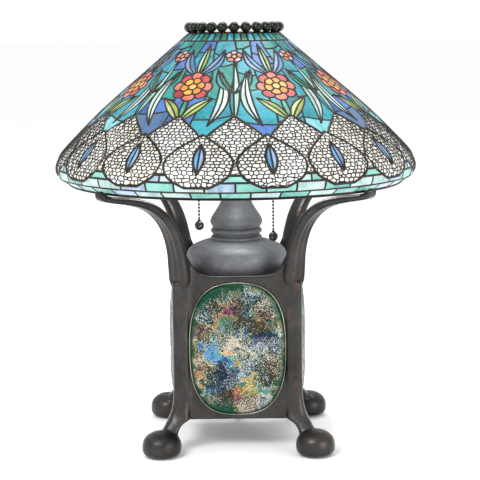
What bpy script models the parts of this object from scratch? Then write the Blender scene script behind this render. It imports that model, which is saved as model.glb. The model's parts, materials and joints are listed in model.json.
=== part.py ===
"""Stained glass table lamp with a lighted cast base, as separate solids.

The frame is +Z up, with the origin on the table under the lamp's centre and the front facing -Y.
The base is four corner posts with ball feet, four side panels that slide into grooves in the posts,
and four arms that peg onto the posts and carry the shade by its rim. A tube clamps the base, the bowl
and the neck together, and carries two chain-pull sockets inside the shade. A small lamp lights the
glass tiles in the base, from a thumb-wheel switch on the cord.
"""
import math

import bmesh
import bpy
from mathutils import Matrix, Vector

MM = 0.001
GAP = 0.3 * MM                      # clearance between pieces that touch

# Shade: outer surface, as radius and height
SHADE_RADIUS = 228.6 * MM
SHADE_TOP = (57.2 * MM, 523.9 * MM)
SHADE_SHOULDER = (167.0 * MM, 430.0 * MM)
SHADE_LOWER_SHOULDER = (216.0 * MM, 381.0 * MM)
SHADE_KNEE_HEIGHT = 356.0 * MM
SHADE_RIM = (212.0 * MM, 337.0 * MM)
SHADE_WALL = 3.5 * MM
SHADE_SEGMENTS = 40
UPPER_GLASS_END = 152.7 * MM        # measured down the shade's outer surface from its top
BRICK_START = 239.7 * MM
GLASS_TOP_MARGIN = 0.4 * MM
GLASS_RIM_MARGIN = 3.5 * MM
BEAD_COUNT = 24
BEAD_RADIUS = 6.4 * MM
BEAD_RING_RADIUS = 56.6 * MM
BEAD_RING_HEIGHT = 530.4 * MM
TOP_BAND_RADII = (51.2 * MM, 54.2 * MM)
TOP_BAND_HEIGHTS = (517.5 * MM, 524.2 * MM)

# Base
POST_OUTER = 81.0 * MM              # from the lamp's axis to a post's outer face
POST_SIZE = 19.8 * MM
POST_TOP = 217.0 * MM
PANEL_BOTTOM = 42.0 * MM
PANEL_TOP = 224.4 * MM
PANEL_FACE = 77.0 * MM              # from the lamp's axis to a panel's outer face
PANEL_THICKNESS = 7.0 * MM
EAR_EDGE = 56.3 * MM                # the side of a panel's ear, clear of the arm beside it
EAR_TOP = 238.0 * MM
EAR_CURVE = [(53.5, 231.5), (47.5, 227.5), (38.0, 225.2)]      # mm, from an ear down to the panel's top edge
GROOVE_DEPTH = 3.3 * MM
# Each leg section, in mm: its height, and how far its inner and outer sides are from the lamp's axis
LEG_SECTIONS = [(110.0, 62.2, 80.2), (73.0, 61.9, 81.4), (59.0, 61.9, 83.0), (50.0, 61.9, 85.0),
                (44.5, 62.2, 87.0), (41.5, 65.5, 88.4), (38.0, 71.5, 90.2), (34.0, 74.8, 92.4),
                (29.0, 77.2, 95.2), (22.0, 79.5, 98.5)]
# The ball foot, as (radius, height) in mm
FOOT_PROFILE = [(0.0, 2.0), (17.0, 2.0), (22.0, 4.4), (24.4, 10.5), (24.2, 15.5), (21.5, 23.0), (15.5, 28.8),
                (8.0, 32.0), (0.0, 33.0)]
FOOT_CENTRE = 96.0 * MM
PAD_RADIUS = 12.0 * MM
PAD_HEIGHT = 1.7 * MM
PEG_RADIUS = 4.5 * MM
PEG_DEPTH = 12.0 * MM

# Glass tiles in the panels
TILE_HALF_WIDTH = 58.8 * MM
TILE_HALF_HEIGHT = 82.5 * MM
TILE_CENTRE_HEIGHT = 132.0 * MM
TILE_RISE = 10.5 * MM
TILE_CLEARANCE = 0.6 * MM           # between a tile's side and its opening
TILE_POWER = 2.7                    # exponent of the tile's superellipse outline
TILE_POINTS = 28

# Middle column
TUBE_RADIUS = 5.0 * MM
TUBE_BOTTOM = 34.0 * MM
HUB_BOTTOM = 351.0 * MM
HUB_HEIGHT = 24.0 * MM
BOWL_RADIUS = 64.5 * MM
BOWL_WALL = 2.0 * MM
TOP_PLATE_HEIGHT = 205.5 * MM
BOTTOM_PLATE_HEIGHT = 44.0 * MM
PLATE_THICKNESS = 2.5 * MM

# Sockets, bulbs and pull chains
SOCKET_TILT = math.radians(15.0)
SOCKET_START = 17.0 * MM            # along the socket's axis, from the lamp's axis
SOCKET_END = 62.0 * MM
SOCKET_RADIUS = 15.5 * MM
BULB_LENGTH = 78.0 * MM
BULB_RADIUS = 24.0 * MM
CHAIN_X = 46.6 * MM
CHAIN_Y = -42.0 * MM
CHAIN_PITCH = 4.4 * MM
CHAIN_BEAD_RADIUS = 1.6 * MM
CHAIN_BALL_RADIUS = 6.0 * MM
CHAIN_BALL_HEIGHTS = {"left": 283.0 * MM, "right": 268.0 * MM}

# Cord, switch and plug
CORD_HALF_WIDTH = 2.9 * MM
CORD_HALF_HEIGHT = 1.9 * MM
CORD_EXIT_Y = 60.0 * MM
CORD_BEND = 7.0 * MM
CORD_REACH = 60.0 * MM
SWITCH_Y = 156.0 * MM
SWITCH_HALF = (26.0 * MM, 12.0 * MM, 7.5 * MM)
WHEEL_RADIUS = 11.0 * MM
WHEEL_OFFSET = 4.0 * MM
PLUG_Y = 192.0 * MM

SIDES = {"front": 0, "right": 90, "back": 180, "left": 270}
CORNERS = {"front_right": 0, "back_right": 90, "back_left": 180, "front_left": 270}
DIAGONAL = Vector((1.0, -1.0, 0.0)).normalized()       # towards the front right corner
ACROSS = Vector((1.0, 1.0, 0.0)).normalized()          # level, and square to the diagonal
UP = Vector((0.0, 0.0, 1.0))


# ---------------------------------------------------------------- materials

def material(name, colour, roughness, metallic=0.0, alpha=1.0):
    made = bpy.data.materials.new(name)
    made.use_nodes = True
    shader = made.node_tree.nodes["Principled BSDF"]
    shader.inputs["Base Color"].default_value = (*colour, 1.0)
    shader.inputs["Roughness"].default_value = roughness
    shader.inputs["Metallic"].default_value = metallic
    shader.inputs["Alpha"].default_value = alpha
    return made


def make_materials():
    return {
        "bronze": material("bronze", (0.09, 0.083, 0.075), 0.5, 0.7),
        "pewter": material("pewter", (0.16, 0.16, 0.16), 0.38, 0.8),
        "blackened_brass": material("blackened_brass", (0.06, 0.055, 0.045), 0.35, 0.9),
        "teal_glass": material("teal_glass", (0.05, 0.42, 0.47), 0.15),
        "net_glass": material("net_glass", (0.8, 0.82, 0.75), 0.25),
        "mint_glass": material("mint_glass", (0.35, 0.75, 0.7), 0.15),
        "tile_glass": material("tile_glass", (0.03, 0.25, 0.12), 0.12),
        "steel": material("steel", (0.55, 0.55, 0.53), 0.3, 1.0),
        "opal_bulb": material("opal_bulb", (0.95, 0.9, 0.8), 0.3),
        "black_plastic": material("black_plastic", (0.02, 0.02, 0.02), 0.4),
        "cord_plastic": material("cord_plastic", (0.05, 0.03, 0.02), 0.45),
        "felt": material("felt", (0.03, 0.03, 0.03), 0.95),
    }


# ---------------------------------------------------------------- shape tools

def add_object(name, bm, finish):
    """Makes an object of a bmesh, facing out and shaded smooth except at its real edges."""
    bmesh.ops.recalc_face_normals(bm, faces=bm.faces)
    mesh = bpy.data.meshes.new(name)
    bm.to_mesh(mesh)
    bm.free()
    mesh.shade_smooth()
    mesh.set_sharp_from_angle(angle=math.radians(35))
    mesh.materials.append(finish)
    made = bpy.data.objects.new(name, mesh)
    bpy.context.scene.collection.objects.link(made)
    return made


def loft(rings, closed=False):
    """Joins rings of points, all of one length, with capped ends or, if closed, into a loop."""
    bm = bmesh.new()
    loops = [[bm.verts.new(point) for point in ring] for ring in rings]
    pairs = list(zip(loops, loops[1:]))
    if closed:
        pairs.append((loops[-1], loops[0]))
    else:
        bm.faces.new(loops[0])
        bm.faces.new(reversed(loops[-1]))
    for lower, upper in pairs:
        for i in range(len(lower)):
            j = (i + 1) % len(lower)
            bm.faces.new((lower[i], lower[j], upper[j], upper[i]))
    return bm


def lathe(profile, segments):
    """Turns a closed outline of (radius, height) points about Z. Points at radius 0 become poles."""
    bm = bmesh.new()
    loops = []
    for radius, height in profile:
        if radius < 1e-9:
            loops.append([bm.verts.new((0.0, 0.0, height))])
            continue
        angles = [2 * math.pi * i / segments for i in range(segments)]
        loops.append([bm.verts.new((radius * math.cos(a), radius * math.sin(a), height)) for a in angles])
    for k, lower in enumerate(loops):
        upper = loops[(k + 1) % len(loops)]
        if len(lower) == 1 and len(upper) == 1:
            continue
        for i in range(segments):
            j = (i + 1) % segments
            corners = [lower[i % len(lower)], lower[j % len(lower)],
                       upper[j % len(upper)], upper[i % len(upper)]]
            bm.faces.new(list(dict.fromkeys(corners)))
    return bm


def superellipse(half_x, half_y, power, count, turn=0.0):
    """Outline points of a superellipse: power 2 is an ellipse, and a higher power is squarer."""
    points = []
    for i in range(count):
        angle = 2 * math.pi * (i + 0.5) / count
        c, s = math.cos(angle), math.sin(angle)
        x = half_x * math.copysign(abs(c) ** (2 / power), c)
        y = half_y * math.copysign(abs(s) ** (2 / power), s)
        points.append((x * math.cos(turn) - y * math.sin(turn), x * math.sin(turn) + y * math.cos(turn)))
    return points


def spline(points, steps):
    """A Catmull-Rom curve through points of any dimension, with steps spans between each pair."""
    padded = [points[0], *points, points[-1]]
    made = []
    for a, b, c, d in zip(padded, padded[1:], padded[2:], padded[3:]):
        for k in range(steps):
            t = k / steps
            made.append(tuple(
                0.5 * (2 * q + (r - p) * t + (2 * p - 5 * q + 4 * r - s) * t ** 2
                       + (3 * q - p - 3 * r + s) * t ** 3)
                for p, q, r, s in zip(a, b, c, d)))
    made.append(tuple(points[-1]))
    return made


def rings_along(path, sections, level):
    """Places a flat section on each point of a path, square to it. level is each section's first axis."""
    rings = []
    for k, centre in enumerate(path):
        ahead = (path[min(k + 1, len(path) - 1)] - path[max(k - 1, 0)]).normalized()
        first = (level - ahead * level.dot(ahead)).normalized()
        second = ahead.cross(first)
        rings.append([centre + first * a + second * b for a, b in sections[k]])
    return rings


def plate(outline, hole, low, high):
    """A flat plate in XZ between two Y values, with an optional hole through it."""
    bm = bmesh.new()
    edges = []
    for loop in filter(None, (outline, hole)):
        verts = [bm.verts.new((x, low, z)) for x, z in loop]
        edges += [bm.edges.new((a, b)) for a, b in zip(verts, verts[1:] + verts[:1])]
    bmesh.ops.triangle_fill(bm, use_beauty=True, use_dissolve=False, edges=edges)
    extruded = bmesh.ops.extrude_face_region(bm, geom=list(bm.faces), use_keep_orig=True)
    verts = [item for item in extruded["geom"] if isinstance(item, bmesh.types.BMVert)]
    bmesh.ops.translate(bm, verts=verts, vec=(0.0, high - low, 0.0))
    return bm


def rod(start, end, radius, sides):
    """A straight round bar between two points."""
    section = [(radius * math.cos(a), radius * math.sin(a))
               for a in (2 * math.pi * i / sides for i in range(sides))]
    direction = end - start
    level = Vector((0.0, 1.0, 0.0)) if abs(direction.normalized().y) < 0.9 else UP
    return loft(rings_along([start, end], [section, section], level))


def box(low, high):
    bm = bmesh.new()
    bmesh.ops.create_cube(bm, size=1.0)
    low, high = Vector(low), Vector(high)
    bmesh.ops.scale(bm, vec=high - low, verts=bm.verts)
    bmesh.ops.translate(bm, vec=(low + high) / 2, verts=bm.verts)
    return bm


def combine(target, tool_mesh, operation):
    """Cuts a shape from an object's mesh, or joins it on, with an exact Boolean, and keeps the result."""
    tool = add_object("tool", tool_mesh, target.data.materials[0])
    boolean = target.modifiers.new("boolean", "BOOLEAN")
    boolean.object = tool
    boolean.operation = operation
    boolean.solver = "EXACT"
    bpy.context.view_layer.update()
    evaluated = target.evaluated_get(bpy.context.evaluated_depsgraph_get())
    mesh = bpy.data.meshes.new_from_object(evaluated)
    target.modifiers.clear()
    target.data = mesh
    bpy.data.objects.remove(tool)


def copies_around(first, base_name, turns):
    """Places one piece at each named turn about the lamp's axis, sharing its mesh."""
    for place, degrees in turns.items():
        if degrees == 0:
            made = first
        else:
            made = bpy.data.objects.new("copy", first.data)
            bpy.context.scene.collection.objects.link(made)
        made.name = f"{base_name}_{place}"
        made.rotation_euler.z = math.radians(degrees)


# ---------------------------------------------------------------- shade

def shade_profile():
    """(radius, height) points down the shade's outer surface, with their distances from the top."""
    knee = (SHADE_RADIUS, SHADE_KNEE_HEIGHT)
    above_knee = (SHADE_RADIUS - 3.2 * MM, SHADE_KNEE_HEIGHT + 11 * MM)
    below_knee = (SHADE_RADIUS - 3.6 * MM, SHADE_KNEE_HEIGHT - 10 * MM)
    middle = tuple((a + b) / 2 for a, b in zip(SHADE_TOP, SHADE_SHOULDER))
    corners = [SHADE_TOP, middle, SHADE_SHOULDER, SHADE_LOWER_SHOULDER, above_knee, knee, below_knee, SHADE_RIM]
    points = spline(corners, 2)
    distances = [0.0]
    for a, b in zip(points, points[1:]):
        distances.append(distances[-1] + math.dist(a, b))
    return points, distances


def profile_between(start, end):
    """The outer profile between two distances from the top, end points included."""
    points, distances = shade_profile()

    def at(distance):
        for k in range(len(points) - 1):
            if distance <= distances[k + 1] or k == len(points) - 2:
                t = (distance - distances[k]) / (distances[k + 1] - distances[k])
                return tuple(a + (b - a) * t for a, b in zip(points[k], points[k + 1]))

    inner = [p for p, d in zip(points, distances) if start + 2 * MM < d < end - 2 * MM]
    return [at(start), *inner, at(end)]


def shell_band(name, start, end, finish):
    """A band of the shade's wall between two distances down its surface."""
    outer = profile_between(start, end)
    inner = []
    for k, (radius, height) in enumerate(outer):
        before, after = outer[max(k - 1, 0)], outer[min(k + 1, len(outer) - 1)]
        along = Vector((after[0] - before[0], after[1] - before[1])).normalized()
        inner.append((radius + along.y * SHADE_WALL, height - along.x * SHADE_WALL))
    add_object(name, lathe(outer + inner[::-1], SHADE_SEGMENTS), finish)


def build_shade(finishes):
    total = shade_profile()[1][-1]
    shell_band("shade_upper_glass", GLASS_TOP_MARGIN, UPPER_GLASS_END, finishes["teal_glass"])
    shell_band("shade_filigree_band", UPPER_GLASS_END + GAP, BRICK_START, finishes["net_glass"])
    shell_band("shade_brick_border", BRICK_START + GAP, total - GLASS_RIM_MARGIN, finishes["mint_glass"])
    build_shade_rims(finishes["blackened_brass"])
    build_bead_ring(finishes["blackened_brass"])


def build_shade_rims(finish):
    """The band inside the top edge that the beads are fixed to, and the bead round the rim."""
    inner, outer = TOP_BAND_RADII
    low, high = TOP_BAND_HEIGHTS
    band = [(inner, low), (outer, low), (outer, high), (inner, high)]
    add_object("shade_top_band", lathe(band, SHADE_SEGMENTS), finish)
    rim_radius, rim_height = SHADE_RIM
    rim = [(rim_radius - 3.5 * MM, rim_height - 1.4 * MM), (rim_radius + 0.8 * MM, rim_height - 1.4 * MM),
           (rim_radius + 1.2 * MM, rim_height + 0.4 * MM), (rim_radius - 1.2 * MM, rim_height + 1.2 * MM),
           (rim_radius - 3.5 * MM, rim_height + 0.6 * MM)]
    add_object("shade_rim_band", lathe(rim, SHADE_SEGMENTS), finish)


def build_bead_ring(finish):
    """Beads threaded on a wire ring, as one loop whose thickness swells at each bead."""
    swell = ((-0.5, 0.3), (-0.24, 0.86), (0.24, 0.86))
    rings = []
    for bead in range(BEAD_COUNT):
        for offset, share in swell:
            angle = 2 * math.pi * (bead + offset) / BEAD_COUNT
            out = Vector((math.cos(angle), math.sin(angle), 0.0))
            centre = out * BEAD_RING_RADIUS + UP * BEAD_RING_HEIGHT
            radius = BEAD_RADIUS * share
            rings.append([centre + (out * math.cos(a) + UP * math.sin(a)) * radius
                          for a in (2 * math.pi * (i + 0.5) / 6 for i in range(6))])
    add_object("shade_bead_ring", loft(rings, closed=True), finish)


# ---------------------------------------------------------------- base castings

def diagonal_path(points):
    return [DIAGONAL * reach + UP * height for reach, height in points]


def leg_mesh():
    """A leg that leaves the bottom of the post and narrows as it runs out to the ball foot."""
    rings = []
    for height, inner, outer in LEG_SECTIONS:
        middle, half = (outer + inner) / 2, (outer - inner) / 2
        rings.append([Vector(((middle + x) * MM, (y - middle) * MM, height * MM))
                      for x, y in superellipse(half, half, 3.4, 12)])
    return loft(rings)


def build_posts(finishes):
    """Square posts that flare into legs and stand on ball feet, grooved for the panels."""
    inner = POST_OUTER - POST_SIZE
    centre = (POST_OUTER - POST_SIZE / 2) * math.sqrt(2)
    low = (inner, -POST_OUTER, PANEL_BOTTOM)
    high = (POST_OUTER, -inner, POST_TOP)
    post = add_object("post", box(low, high), finishes["bronze"])
    bevel = post.modifiers.new("bevel", "BEVEL")
    bevel.width = 4 * MM
    bevel.segments = 1
    bevel.limit_method = "ANGLE"
    combine(post, leg_mesh(), "UNION")
    foot = lathe([(radius * MM, height * MM) for radius, height in FOOT_PROFILE], 16)
    bmesh.ops.translate(foot, vec=(FOOT_CENTRE, -FOOT_CENTRE, 0.0), verts=foot.verts)
    combine(post, foot, "UNION")
    face, back = PANEL_FACE + GAP, PANEL_FACE - PANEL_THICKNESS - GAP
    reach = inner + GROOVE_DEPTH
    low, high = PANEL_BOTTOM - 2 * MM, POST_TOP + MM
    combine(post, box((inner - MM, -face, low), (reach, -back, high)), "DIFFERENCE")
    combine(post, box((back, -reach, low), (face, MM - inner, high)), "DIFFERENCE")
    hole_top = Vector((centre / math.sqrt(2), -centre / math.sqrt(2), POST_TOP + MM))
    hole = rod(hole_top - UP * (PEG_DEPTH + 2 * MM), hole_top, PEG_RADIUS + GAP, 12)
    combine(post, hole, "DIFFERENCE")
    copies_around(post, "corner_post", CORNERS)


def build_arms(finishes):
    """Curved arms, wide where they sit on the posts and thin at the hooked tips that hold the shade."""
    spine = [(100.4, 217.3), (100.4, 222.0), (102.4, 234.0), (105.5, 253.0), (111.0, 272.0), (119.0, 288.0),
             (130.0, 301.5), (145.0, 313.0), (163.0, 320.8), (184.0, 325.7), (205.0, 329.2), (218.0, 332.0),
             (225.0, 335.9), (227.5, 341.5)]
    widths = [12.0, 14.6, 14.2, 13.2, 12.6, 12.0, 11.4, 10.6, 9.8, 9.0, 8.0, 7.2, 6.4, 3.6]
    depths = [7.0, 8.6, 8.4, 7.4, 7.0, 6.7, 6.4, 5.9, 5.4, 4.8, 4.2, 4.1, 4.8, 3.2]
    path = diagonal_path([(reach * MM, height * MM) for reach, height in spine])
    sections = [superellipse(width * MM, depth * MM, 3.4, 12) for width, depth in zip(widths, depths)]
    arm = add_object("arm", loft(rings_along(path, sections, ACROSS)), finishes["bronze"])
    centre = (POST_OUTER - POST_SIZE / 2)
    top = Vector((centre, -centre, POST_TOP + 4 * MM))
    combine(arm, rod(top - UP * (PEG_DEPTH + 3 * MM), top, PEG_RADIUS, 12), "UNION")
    copies_around(arm, "shade_arm", CORNERS)


def tile_outline(half_width, half_height):
    """The rounded outline of a tile or its opening, as (x, height) points."""
    points = superellipse(half_width, half_height, TILE_POWER, TILE_POINTS)
    return [(x, z + TILE_CENTRE_HEIGHT) for x, z in points]


def build_panels(finishes):
    """Side panels with a tile opening. Their edges sit in the post grooves, and their ears meet the arms."""
    tongue = POST_OUTER - POST_SIZE + GROOVE_DEPTH - GAP
    top = POST_TOP - GAP
    half = [(tongue, PANEL_BOTTOM), (tongue, top), (EAR_EDGE, top), (EAR_EDGE, EAR_TOP)]
    half += [(x * MM, z * MM) for x, z in EAR_CURVE]
    half.append((20.0 * MM, PANEL_TOP))
    outline = half + [(-x, z) for x, z in reversed(half)]
    hole_size = (TILE_HALF_WIDTH + TILE_CLEARANCE, TILE_HALF_HEIGHT + TILE_CLEARANCE)
    opening = tile_outline(*hole_size)
    front, back = -PANEL_FACE, PANEL_THICKNESS - PANEL_FACE
    panel = add_object("panel", plate(outline, opening, front, back), finishes["bronze"])
    copies_around(panel, "side_panel", SIDES)


def build_tiles(finishes):
    """Domed glass tiles, each with a bezel in front and a retaining frame behind."""
    back = PANEL_THICKNESS - PANEL_FACE
    steps = [(1.0, 0.0), (1.0, 0.55), (0.93, 0.78), (0.8, 0.9), (0.5, 0.985)]
    height = PANEL_THICKNESS + TILE_RISE
    bm = bmesh.new()
    rings = []
    for share, rise in steps:
        outline = superellipse(TILE_HALF_WIDTH * share, TILE_HALF_HEIGHT * share, TILE_POWER, TILE_POINTS)
        rings.append([bm.verts.new((x, back - height * rise, z + TILE_CENTRE_HEIGHT)) for x, z in outline])
    for lower, upper in zip(rings, rings[1:]):
        for i in range(TILE_POINTS):
            j = (i + 1) % TILE_POINTS
            bm.faces.new((lower[i], lower[j], upper[j], upper[i]))
    crown = bm.verts.new((0.0, back - height, TILE_CENTRE_HEIGHT))
    for i in range(TILE_POINTS):
        bm.faces.new((rings[-1][i], rings[-1][(i + 1) % TILE_POINTS], crown))
    bm.faces.new(rings[0])
    copies_around(add_object("tile", bm, finishes["tile_glass"]), "glass_tile", SIDES)
    build_bezels(finishes)
    build_retainers(finishes)


def build_bezels(finishes):
    """Thin metal rings that cover the joint between tile and panel."""
    face = -PANEL_FACE - GAP
    outer = tile_outline(TILE_HALF_WIDTH + 2.0 * MM, TILE_HALF_HEIGHT + 2.0 * MM)
    inner = tile_outline(TILE_HALF_WIDTH + 0.4 * MM, TILE_HALF_HEIGHT + 0.4 * MM)
    rings = []
    for (xo, zo), (xi, zi) in zip(outer, inner):
        back_outer = Vector((xo, face, zo))
        back_inner = Vector((xi, face, zi))
        front_inner = Vector((xi, face - 1.2 * MM, zi))
        crest = (back_outer + back_inner) / 2 + Vector((0.0, -2.2 * MM, 0.0))
        rings.append([back_outer, back_inner, front_inner, crest])
    bezel = add_object("bezel", loft(rings, closed=True), finishes["blackened_brass"])
    copies_around(bezel, "tile_bezel", SIDES)


def build_retainers(finishes):
    """Flat frames inside the base that hold the tiles against the panels."""
    inside = PANEL_THICKNESS - PANEL_FACE + GAP
    half = POST_OUTER - POST_SIZE - 0.7 * MM
    low, high = BOTTOM_PLATE_HEIGHT + PLATE_THICKNESS + GAP, TOP_PLATE_HEIGHT - GAP
    outline = [(-half, low), (half, low), (half, high), (-half, high)]
    opening = [(x, z - 3 * MM) for x, z in tile_outline(TILE_HALF_WIDTH - 6 * MM, TILE_HALF_HEIGHT - 12 * MM)]
    frame = add_object("retainer", plate(outline, opening, inside, inside + 1.8 * MM), finishes["steel"])
    copies_around(frame, "tile_retainer", SIDES)


def build_pads(finishes):
    pad = lathe([(0.0, 0.0), (PAD_RADIUS, 0.0), (PAD_RADIUS, PAD_HEIGHT), (0.0, PAD_HEIGHT)], 16)
    bmesh.ops.translate(pad, vec=(FOOT_CENTRE, -FOOT_CENTRE, 0.0), verts=pad.verts)
    copies_around(add_object("pad", pad, finishes["felt"]), "foot_pad", CORNERS)


def notched_plate(name, height, finish):
    """A square plate with its corners cut away round the posts and a hole for the tube."""
    wide = PANEL_FACE - PANEL_THICKNESS - 2.6 * MM
    narrow = POST_OUTER - POST_SIZE - GAP
    quarter = [(wide, narrow), (narrow, narrow), (narrow, wide)]
    outline = []
    for turn in range(4):
        c, s = round(math.cos(turn * math.pi / 2)), round(math.sin(turn * math.pi / 2))
        outline += [(x * c - y * s, x * s + y * c) for x, y in quarter]
    hole = [((TUBE_RADIUS + GAP) * math.cos(a), (TUBE_RADIUS + GAP) * math.sin(a))
            for a in (2 * math.pi * i / 16 for i in range(16))]
    bm = plate(outline, hole, 0.0, PLATE_THICKNESS)
    bmesh.ops.rotate(bm, cent=(0, 0, 0), matrix=Matrix.Rotation(math.pi / 2, 3, "X"), verts=bm.verts)
    bmesh.ops.translate(bm, vec=(0.0, 0.0, height), verts=bm.verts)
    return add_object(name, bm, finish)


# ---------------------------------------------------------------- middle column

def build_column(finishes):
    """The plates, tube, nut, bowl and neck, all threaded on one tube."""
    notched_plate("top_plate", TOP_PLATE_HEIGHT, finishes["steel"])
    bottom = notched_plate("bottom_plate", BOTTOM_PLATE_HEIGHT, finishes["steel"])
    exit_point = Vector((0.0, CORD_EXIT_Y, BOTTOM_PLATE_HEIGHT))
    combine(bottom, rod(exit_point - UP * MM, exit_point + UP * 5 * MM, 5.3 * MM, 12), "DIFFERENCE")
    tube_top = HUB_BOTTOM + 6 * MM
    bore = 3.4 * MM
    tube = [(bore, TUBE_BOTTOM), (TUBE_RADIUS, TUBE_BOTTOM), (TUBE_RADIUS, tube_top), (bore, tube_top)]
    add_object("centre_tube", lathe(tube, 16), finishes["steel"])
    nut_top = BOTTOM_PLATE_HEIGHT - GAP
    outline = [(9 * MM * math.cos(a), 9 * MM * math.sin(a)) for a in (math.pi * i / 3 for i in range(6))]
    ends = [[Vector((x, y, height)) for x, y in outline] for height in (nut_top - 6 * MM, nut_top)]
    nut = add_object("tube_nut", loft(ends), finishes["steel"])
    through = rod(UP * (nut_top - 7 * MM), UP * (nut_top + MM), TUBE_RADIUS + GAP, 16)
    combine(nut, through, "DIFFERENCE")
    build_bowl(finishes["pewter"])
    build_neck(finishes["pewter"])


def build_bowl(finish):
    """A hollow squat bowl, open underneath, that stands on the top plate."""
    base = TOP_PLATE_HEIGHT + PLATE_THICKNESS + GAP
    outer = [(50.0 * MM, base), (57.5 * MM, 215.5 * MM), (63.0 * MM, 227.0 * MM), (BOWL_RADIUS, 238.0 * MM),
             (62.3 * MM, 246.5 * MM), (55.5 * MM, 252.8 * MM), (44.0 * MM, 257.6 * MM),
             (33.5 * MM, 260.4 * MM), (31.6 * MM, 265.3 * MM), (TUBE_RADIUS + GAP, 265.3 * MM)]
    inner = [(TUBE_RADIUS + GAP, 263.3 * MM), (29.6 * MM, 263.3 * MM)]
    inner += [(radius - BOWL_WALL, height - BOWL_WALL * 0.5) for radius, height in reversed(outer[1:8])]
    inner.append((48.0 * MM, base))
    add_object("bowl", lathe(outer + inner, 24), finish)


def build_neck(finish):
    """A turned ring and a tall cone that cover the tube between the bowl and the sockets."""
    hole = (TUBE_RADIUS + GAP) / MM
    ring = [(hole, 265.6), (29.8, 265.6), (30.0, 267.0), (32.6, 269.2), (33.0, 271.5), (31.8, 274.3),
            (30.4, 275.6), (hole, 275.6)]
    add_object("neck_ring", lathe([(r * MM, z * MM) for r, z in ring], 24), finish)
    cone = [(hole, 275.9), (30.4, 275.9), (31.8, 278.4), (33.4, 281.6), (33.3, 285.0), (30.8, 290.4),
            (25.6, 298.4), (20.6, 307.2), (16.6, 318.6), (13.8, 332.0), (12.4, 345.0), (hole, 345.0)]
    add_object("neck_cone", lathe([(r * MM, z * MM) for r, z in cone], 24), finish)


# ---------------------------------------------------------------- lights

def socket_frame(side):
    """Start point and direction of a socket's axis; side is 1 for the right one and -1 for the left."""
    start = Vector((0.0, 0.0, HUB_BOTTOM + 11 * MM))
    return start, Vector((side * math.cos(SOCKET_TILT), 0.0, math.sin(SOCKET_TILT)))


def turned_along(start, direction, profile, sides):
    """Turns (distance, radius) stations about an axis that leaves start in a direction."""
    path = [start + direction * distance for distance, radius in profile]
    angles = [2 * math.pi * i / sides for i in range(sides)]
    sections = [[(radius * math.cos(a), radius * math.sin(a)) for a in angles] for _, radius in profile]
    rings = []
    first = Vector((0.0, 1.0, 0.0))
    second = direction.cross(first)
    for centre, section in zip(path, sections):
        rings.append([centre + first * a + second * b for a, b in section])
    return loft(rings)


def build_cluster(finishes):
    """The hub that carries both sockets, and the nut on top of it."""
    middle = HUB_BOTTOM + HUB_HEIGHT
    bore, bore_top = TUBE_RADIUS + GAP, HUB_BOTTOM + 7 * MM
    profile = [(0.0, bore_top), (bore, bore_top), (bore, HUB_BOTTOM), (10 * MM, HUB_BOTTOM),
               (13 * MM, HUB_BOTTOM + 3 * MM), (13 * MM, middle - 3 * MM), (9 * MM, middle), (0.0, middle)]
    hub = add_object("cluster_hub", lathe(profile, 20), finishes["blackened_brass"])
    for side in (1, -1):
        start, direction = socket_frame(side)
        branch = rod(start + direction * 8 * MM, start + direction * (SOCKET_START - GAP), 5 * MM, 12)
        combine(hub, branch, "UNION")
    finial = [(0.0, middle + GAP), (6 * MM, middle + GAP), (6.5 * MM, middle + 4 * MM),
              (3 * MM, middle + 8 * MM), (5 * MM, middle + 13 * MM), (0.0, middle + 18 * MM)]
    add_object("cluster_finial", lathe(finial, 14), finishes["blackened_brass"])


def build_light(side, place, finishes):
    """One chain-pull socket with its bulb and chain."""
    start, direction = socket_frame(side)
    shell = [(SOCKET_START, 6 * MM), (SOCKET_START + 3 * MM, 12.5 * MM),
             (SOCKET_START + 16 * MM, SOCKET_RADIUS), (SOCKET_END, SOCKET_RADIUS)]
    shape = turned_along(start, direction, shell, 20)
    socket = add_object(f"socket_{place}", shape, finishes["blackened_brass"])
    guide_height = (start + direction * (CHAIN_X / math.cos(SOCKET_TILT))).z
    chain_top = Vector((side * CHAIN_X, CHAIN_Y, guide_height))
    neck_start = Vector((side * CHAIN_X, -10 * MM, guide_height))
    combine(socket, rod(neck_start, chain_top + Vector((0.0, 1.0 * MM, 0.0)), 3.2 * MM, 10), "UNION")
    combine(socket, rod(chain_top - UP * 8 * MM, chain_top + UP * 6 * MM, 4.3 * MM, 12), "UNION")
    combine(socket, rod(chain_top - UP * 9 * MM, chain_top + UP * 3.5 * MM, 2.4 * MM, 10), "DIFFERENCE")
    mouth = [(SOCKET_END - 22 * MM, 13.6 * MM), (SOCKET_END + MM, 13.6 * MM)]
    recess = turned_along(start, direction, mouth, 20)
    combine(socket, recess, "DIFFERENCE")
    bulb_start = SOCKET_END - 21 * MM
    neck_end = SOCKET_END + 2 * MM
    globe = SOCKET_END + BULB_LENGTH - BULB_RADIUS
    bulb = [(bulb_start, 4 * MM), (bulb_start + 2 * MM, 12.9 * MM), (neck_end, 12.9 * MM)]
    bulb += [(neck_end + 16 * MM, 17 * MM)]
    for k in range(5):
        angle = math.radians(-35 + 31 * k)
        bulb.append((globe + BULB_RADIUS * math.sin(angle), BULB_RADIUS * math.cos(angle)))
    add_object(f"bulb_{place}", turned_along(start, direction, bulb, 20), finishes["opal_bulb"])
    build_chain(place, chain_top, CHAIN_BALL_HEIGHTS[place], finishes["blackened_brass"])


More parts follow.
